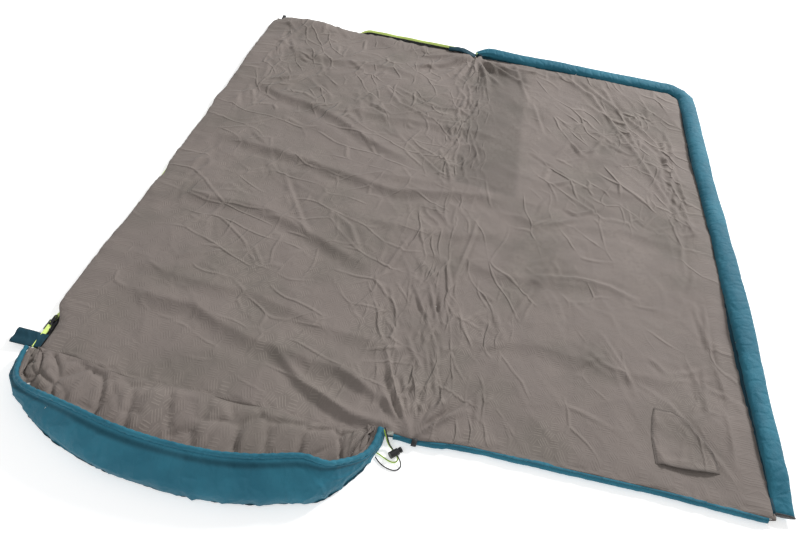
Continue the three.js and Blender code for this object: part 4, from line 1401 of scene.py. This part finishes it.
def make_tab():
    s, t = np.meshgrid(np.linspace(0, 1, 26), np.linspace(0, 1, 20))
    x = TAB_ROOT - s * (TAB_LENGTH + 1.5 * t)
    y = 6 - 4 * s + (40 + 4 * s) * t
    top = np.stack([x, y, 13.6 + tab_wave(x, y, s, t)], -1)
    under = top - np.array([0, 0, 3.6])
    piece = slab_mesh("neck_tab_cloth", top[:, ::-1], under[:, ::-1])
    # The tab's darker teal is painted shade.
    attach(dress(piece, TEAL_PAINTED_SHADE, "shell_dark", "neck_tab"), "tab")
    x, y = np.meshgrid(np.linspace(-915, -882, 24), np.linspace(8, 40, 24))
    hooks = 9.0 + 0.6 * np.sin(x * 1.9) * np.sin(y * 1.9)
    lift = 0.6 + tab_wave(x, y, (TAB_ROOT - x) / TAB_LENGTH, (y - 4) / 42)
    low = np.stack([x, y, hooks + lift - 1.2], -1)
    high = np.stack([x, y, 9.1 + lift], -1)
    piece = slab_mesh("hook_patch_pile", high, low)
    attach(dress(piece, BLACK_TAPE, "black_tape", "tab_hook_patch"), "tab")


def make_loop_patch():
    x, y = np.meshgrid(np.linspace(790, 835, 30), np.linspace(6, 44, 26))
    pile = 0.5 * np.abs(np.sin(1.7 * x) * np.cos(1.7 * y))
    low = np.stack([x, y, 0.15 + 0 * x + 0.3 * pile], -1)
    high = np.stack([x, y, 1.5 + 0 * x], -1)
    piece = slab_mesh("loop_patch_pile", high, low)
    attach(dress(piece, BLACK_TAPE, "black_tape", "tab_loop_patch"), "top_half")


def make_hanging_loop():
    bend = [(0, 0, 20), (6, 0, 21.4), (16, 0, 23.8), (24, 0, 25.6), (28, 0, 23)]
    bend += [(25, 0, 19.6), (14, 0, 18.9), (4, 0, 18.7), (0, 0, 18.9)]
    out, _, height = even_path(bend, 2)[0].T
    rows = [np.stack([0 * out + x, LENGTH - 4 + out, height], -1) for x in np.linspace(-846, -834, 5)]
    piece = sheet_mesh("hanging_loop_webbing", np.stack(rows))
    dress(piece, BLACK_TAPE, "black_tape", "corner_hanging_loop")
    thicken(piece, 1.3)
    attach(piece, "bottom_half")


def make_stub():
    route = [(-114, 4, 34), (-85, 3, 39), (-50, 1, 39), (-1, -2, 27)]
    path, _ = even_path([(x, LENGTH + y, z) for x, y, z in route], 4)
    share = np.linspace(0, 1, len(path))
    sides = 32
    turn = full_turn(sides)
    level, upright = directions_across(tangents(path))
    width = 17 * (0.82 + 0.18 * np.sin(np.pi * share)) + 1.2 * noise(150 * share, 0 * share, 22, 141)
    height = 5.4 + 1.6 * noise(150 * share, 0 * share, 40, 142)
    ring = ring_of(turn, width[:, None] * level, height[:, None] * upright)
    ring[..., 2] += 1.2 * noise(150 * share[:, None], 25 * np.cos(turn)[None, :], 16, 143)
    piece = sheet_mesh("draft_tube_tail", capped(path[:, None] + ring), closed=True, flip=True)
    # The tail's darker teal is painted shade.
    across_fold(dress(piece, TEAL_PAINTED_SHADE, "shell_dark", "draft_tube_stub"))


make_tab()
make_loop_patch()
make_hanging_loop()
make_stub()


# ---- Stitching -----------------------------------------------------------------------
def stitch_row(path, pitch=4.2, length=3.0, radius=0.42):
    """Points and faces of a row of thread stitches along a path of points."""
    run = run_along(path)
    marks = np.arange(pitch, run[-1] - pitch, pitch)
    middle = sample(marks, run, path)
    along = unit(sample(marks + 0.5, run, path) - middle)
    ring = ring_of(full_turn(5), *directions_across(along))
    rings = []
    for share, grow in ((-0.5, 0.35), (-0.3, 1), (0, 1.15), (0.3, 1), (0.5, 0.35)):
        centre = middle + share * length * along + np.array([0, 0, -0.3 * (1 - grow)])
        rings.append(centre[:, None] + grow * radius * ring)
    points = np.stack(rings, 1)
    count, steps, sides = points.shape[:3]
    base = grid_faces(steps, sides, True)
    ends = [list(range(sides))[::-1], list(range((steps - 1) * sides, steps * sides))]
    faces = (base[None] + (np.arange(count) * steps * sides)[:, None, None]).reshape(-1, 4).tolist()
    for group in ends:
        faces += [[v + k * steps * sides for v in group] for k in range(count)]
    return points.reshape(-1, 3), faces


def stitches(name, path, material, slot):
    points, faces = stitch_row(path)
    return dress(make_mesh(name, points, faces, points), material, slot)


def pocket_seam():
    a, b = POCKET_SIDES
    inset = (b - a) * 0.03
    end = a[-1:] + (b[-1:] - a[-1:]) * np.linspace(0.05, 0.95, 12)[:, None] - [0, 4]
    around = np.concatenate([a + inset, end, (b - inset)[::-1]])
    x, y = around[:, 0], around[:, 1]
    return np.stack([x, y, top_height(x, y) + 3.4], -1)


neck_x = np.linspace(16, 842, 260)
lip = neck_profile(neck_x)[3] + np.array([0, 0, 0.3])
across_fold(stitches("neck_binding_stitches", lip, STITCH, "shell_dark"))
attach(stitches("pocket_stitches", pocket_seam(), GREY_STITCH, "lining"), "top_half")

# ---- Hard CAD parts: softer edges and detailed finishes --------------------------------
# Each part's material, slot and rounding of its edges.
HARD = {
    "lock_body": (BLACK_PLASTIC, "black_plastic", 0.9),
    "lock_plunger": (BLACK_PLASTIC, "black_plastic", 0.7),
    "lock_spring": (STEEL, "spring_steel", 0),
    "zip_bottom_stop": (BLACK_PLASTIC, "black_plastic", 0.8),
    "side_slider_body": (ZIP_METAL, "zip_metal", 0.35),
    "foot_slider_body": (ZIP_METAL, "zip_metal", 0.35),
    "side_slider_puller": (BLACK_PLASTIC, "black_plastic", 0.5),
    "foot_slider_puller": (BLACK_PLASTIC, "black_plastic", 0.5),
}
for node, (material, slot, edge) in HARD.items():
    piece = dress(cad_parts[node], material, slot)
    if edge:
        bevel = piece.modifiers.new("edge", "BEVEL")
        bevel.width = edge * MM
        bevel.segments = 3
        bevel.limit_method = "ANGLE"
        bevel.angle_limit = math.radians(40)

# ---- Floor, light and view -----------------------------------------------------------
FLOOR = 70  # half the floor's side, in metres
floor_mesh = bpy.data.meshes.new("floor")
corners = [(x * FLOOR, y * FLOOR, 0) for x, y in ((-1, -1), (1, -1), (1, 1), (-1, 1))]
floor_mesh.from_pydata(corners, [], [(0, 1, 2, 3)])
floor = put_in_scene("floor", floor_mesh)
floor.location.z = -0.0005  # just under the cloth, so that the two don't flicker
paper = Finish("floor_paper", 0.9, False, Emission_Color=(1, 1, 1, 1), Emission_Strength=0.38)
floor_mesh.materials.append(paper.finish((0.96, 0.96, 0.96, 1)))


def softbox(name, place, target, size, power):
    light = bpy.data.lights.new(name, "AREA")
    light.size = size
    light.energy = power
    lamp = put_in_scene(name, light)
    lamp.location = place
    lamp.rotation_euler = (Vector(target) - Vector(place)).to_track_quat("-Z", "Y").to_euler()


softbox("key", (4.0, 4.7, 4.3), (0, 0, 0), 1.6, 600)
softbox("front", (-1.6, -3.8, 3.6), (0, -0.2, 0), 2.6, 55)
world = bpy.data.worlds.new("studio")
world.use_nodes = True
sky = world.node_tree.nodes["Background"].inputs
sky["Color"].default_value = (1, 1, 1, 1)
sky["Strength"].default_value = 0.47
bpy.context.scene.world = world
bpy.context.scene.view_settings.view_transform = "Standard"
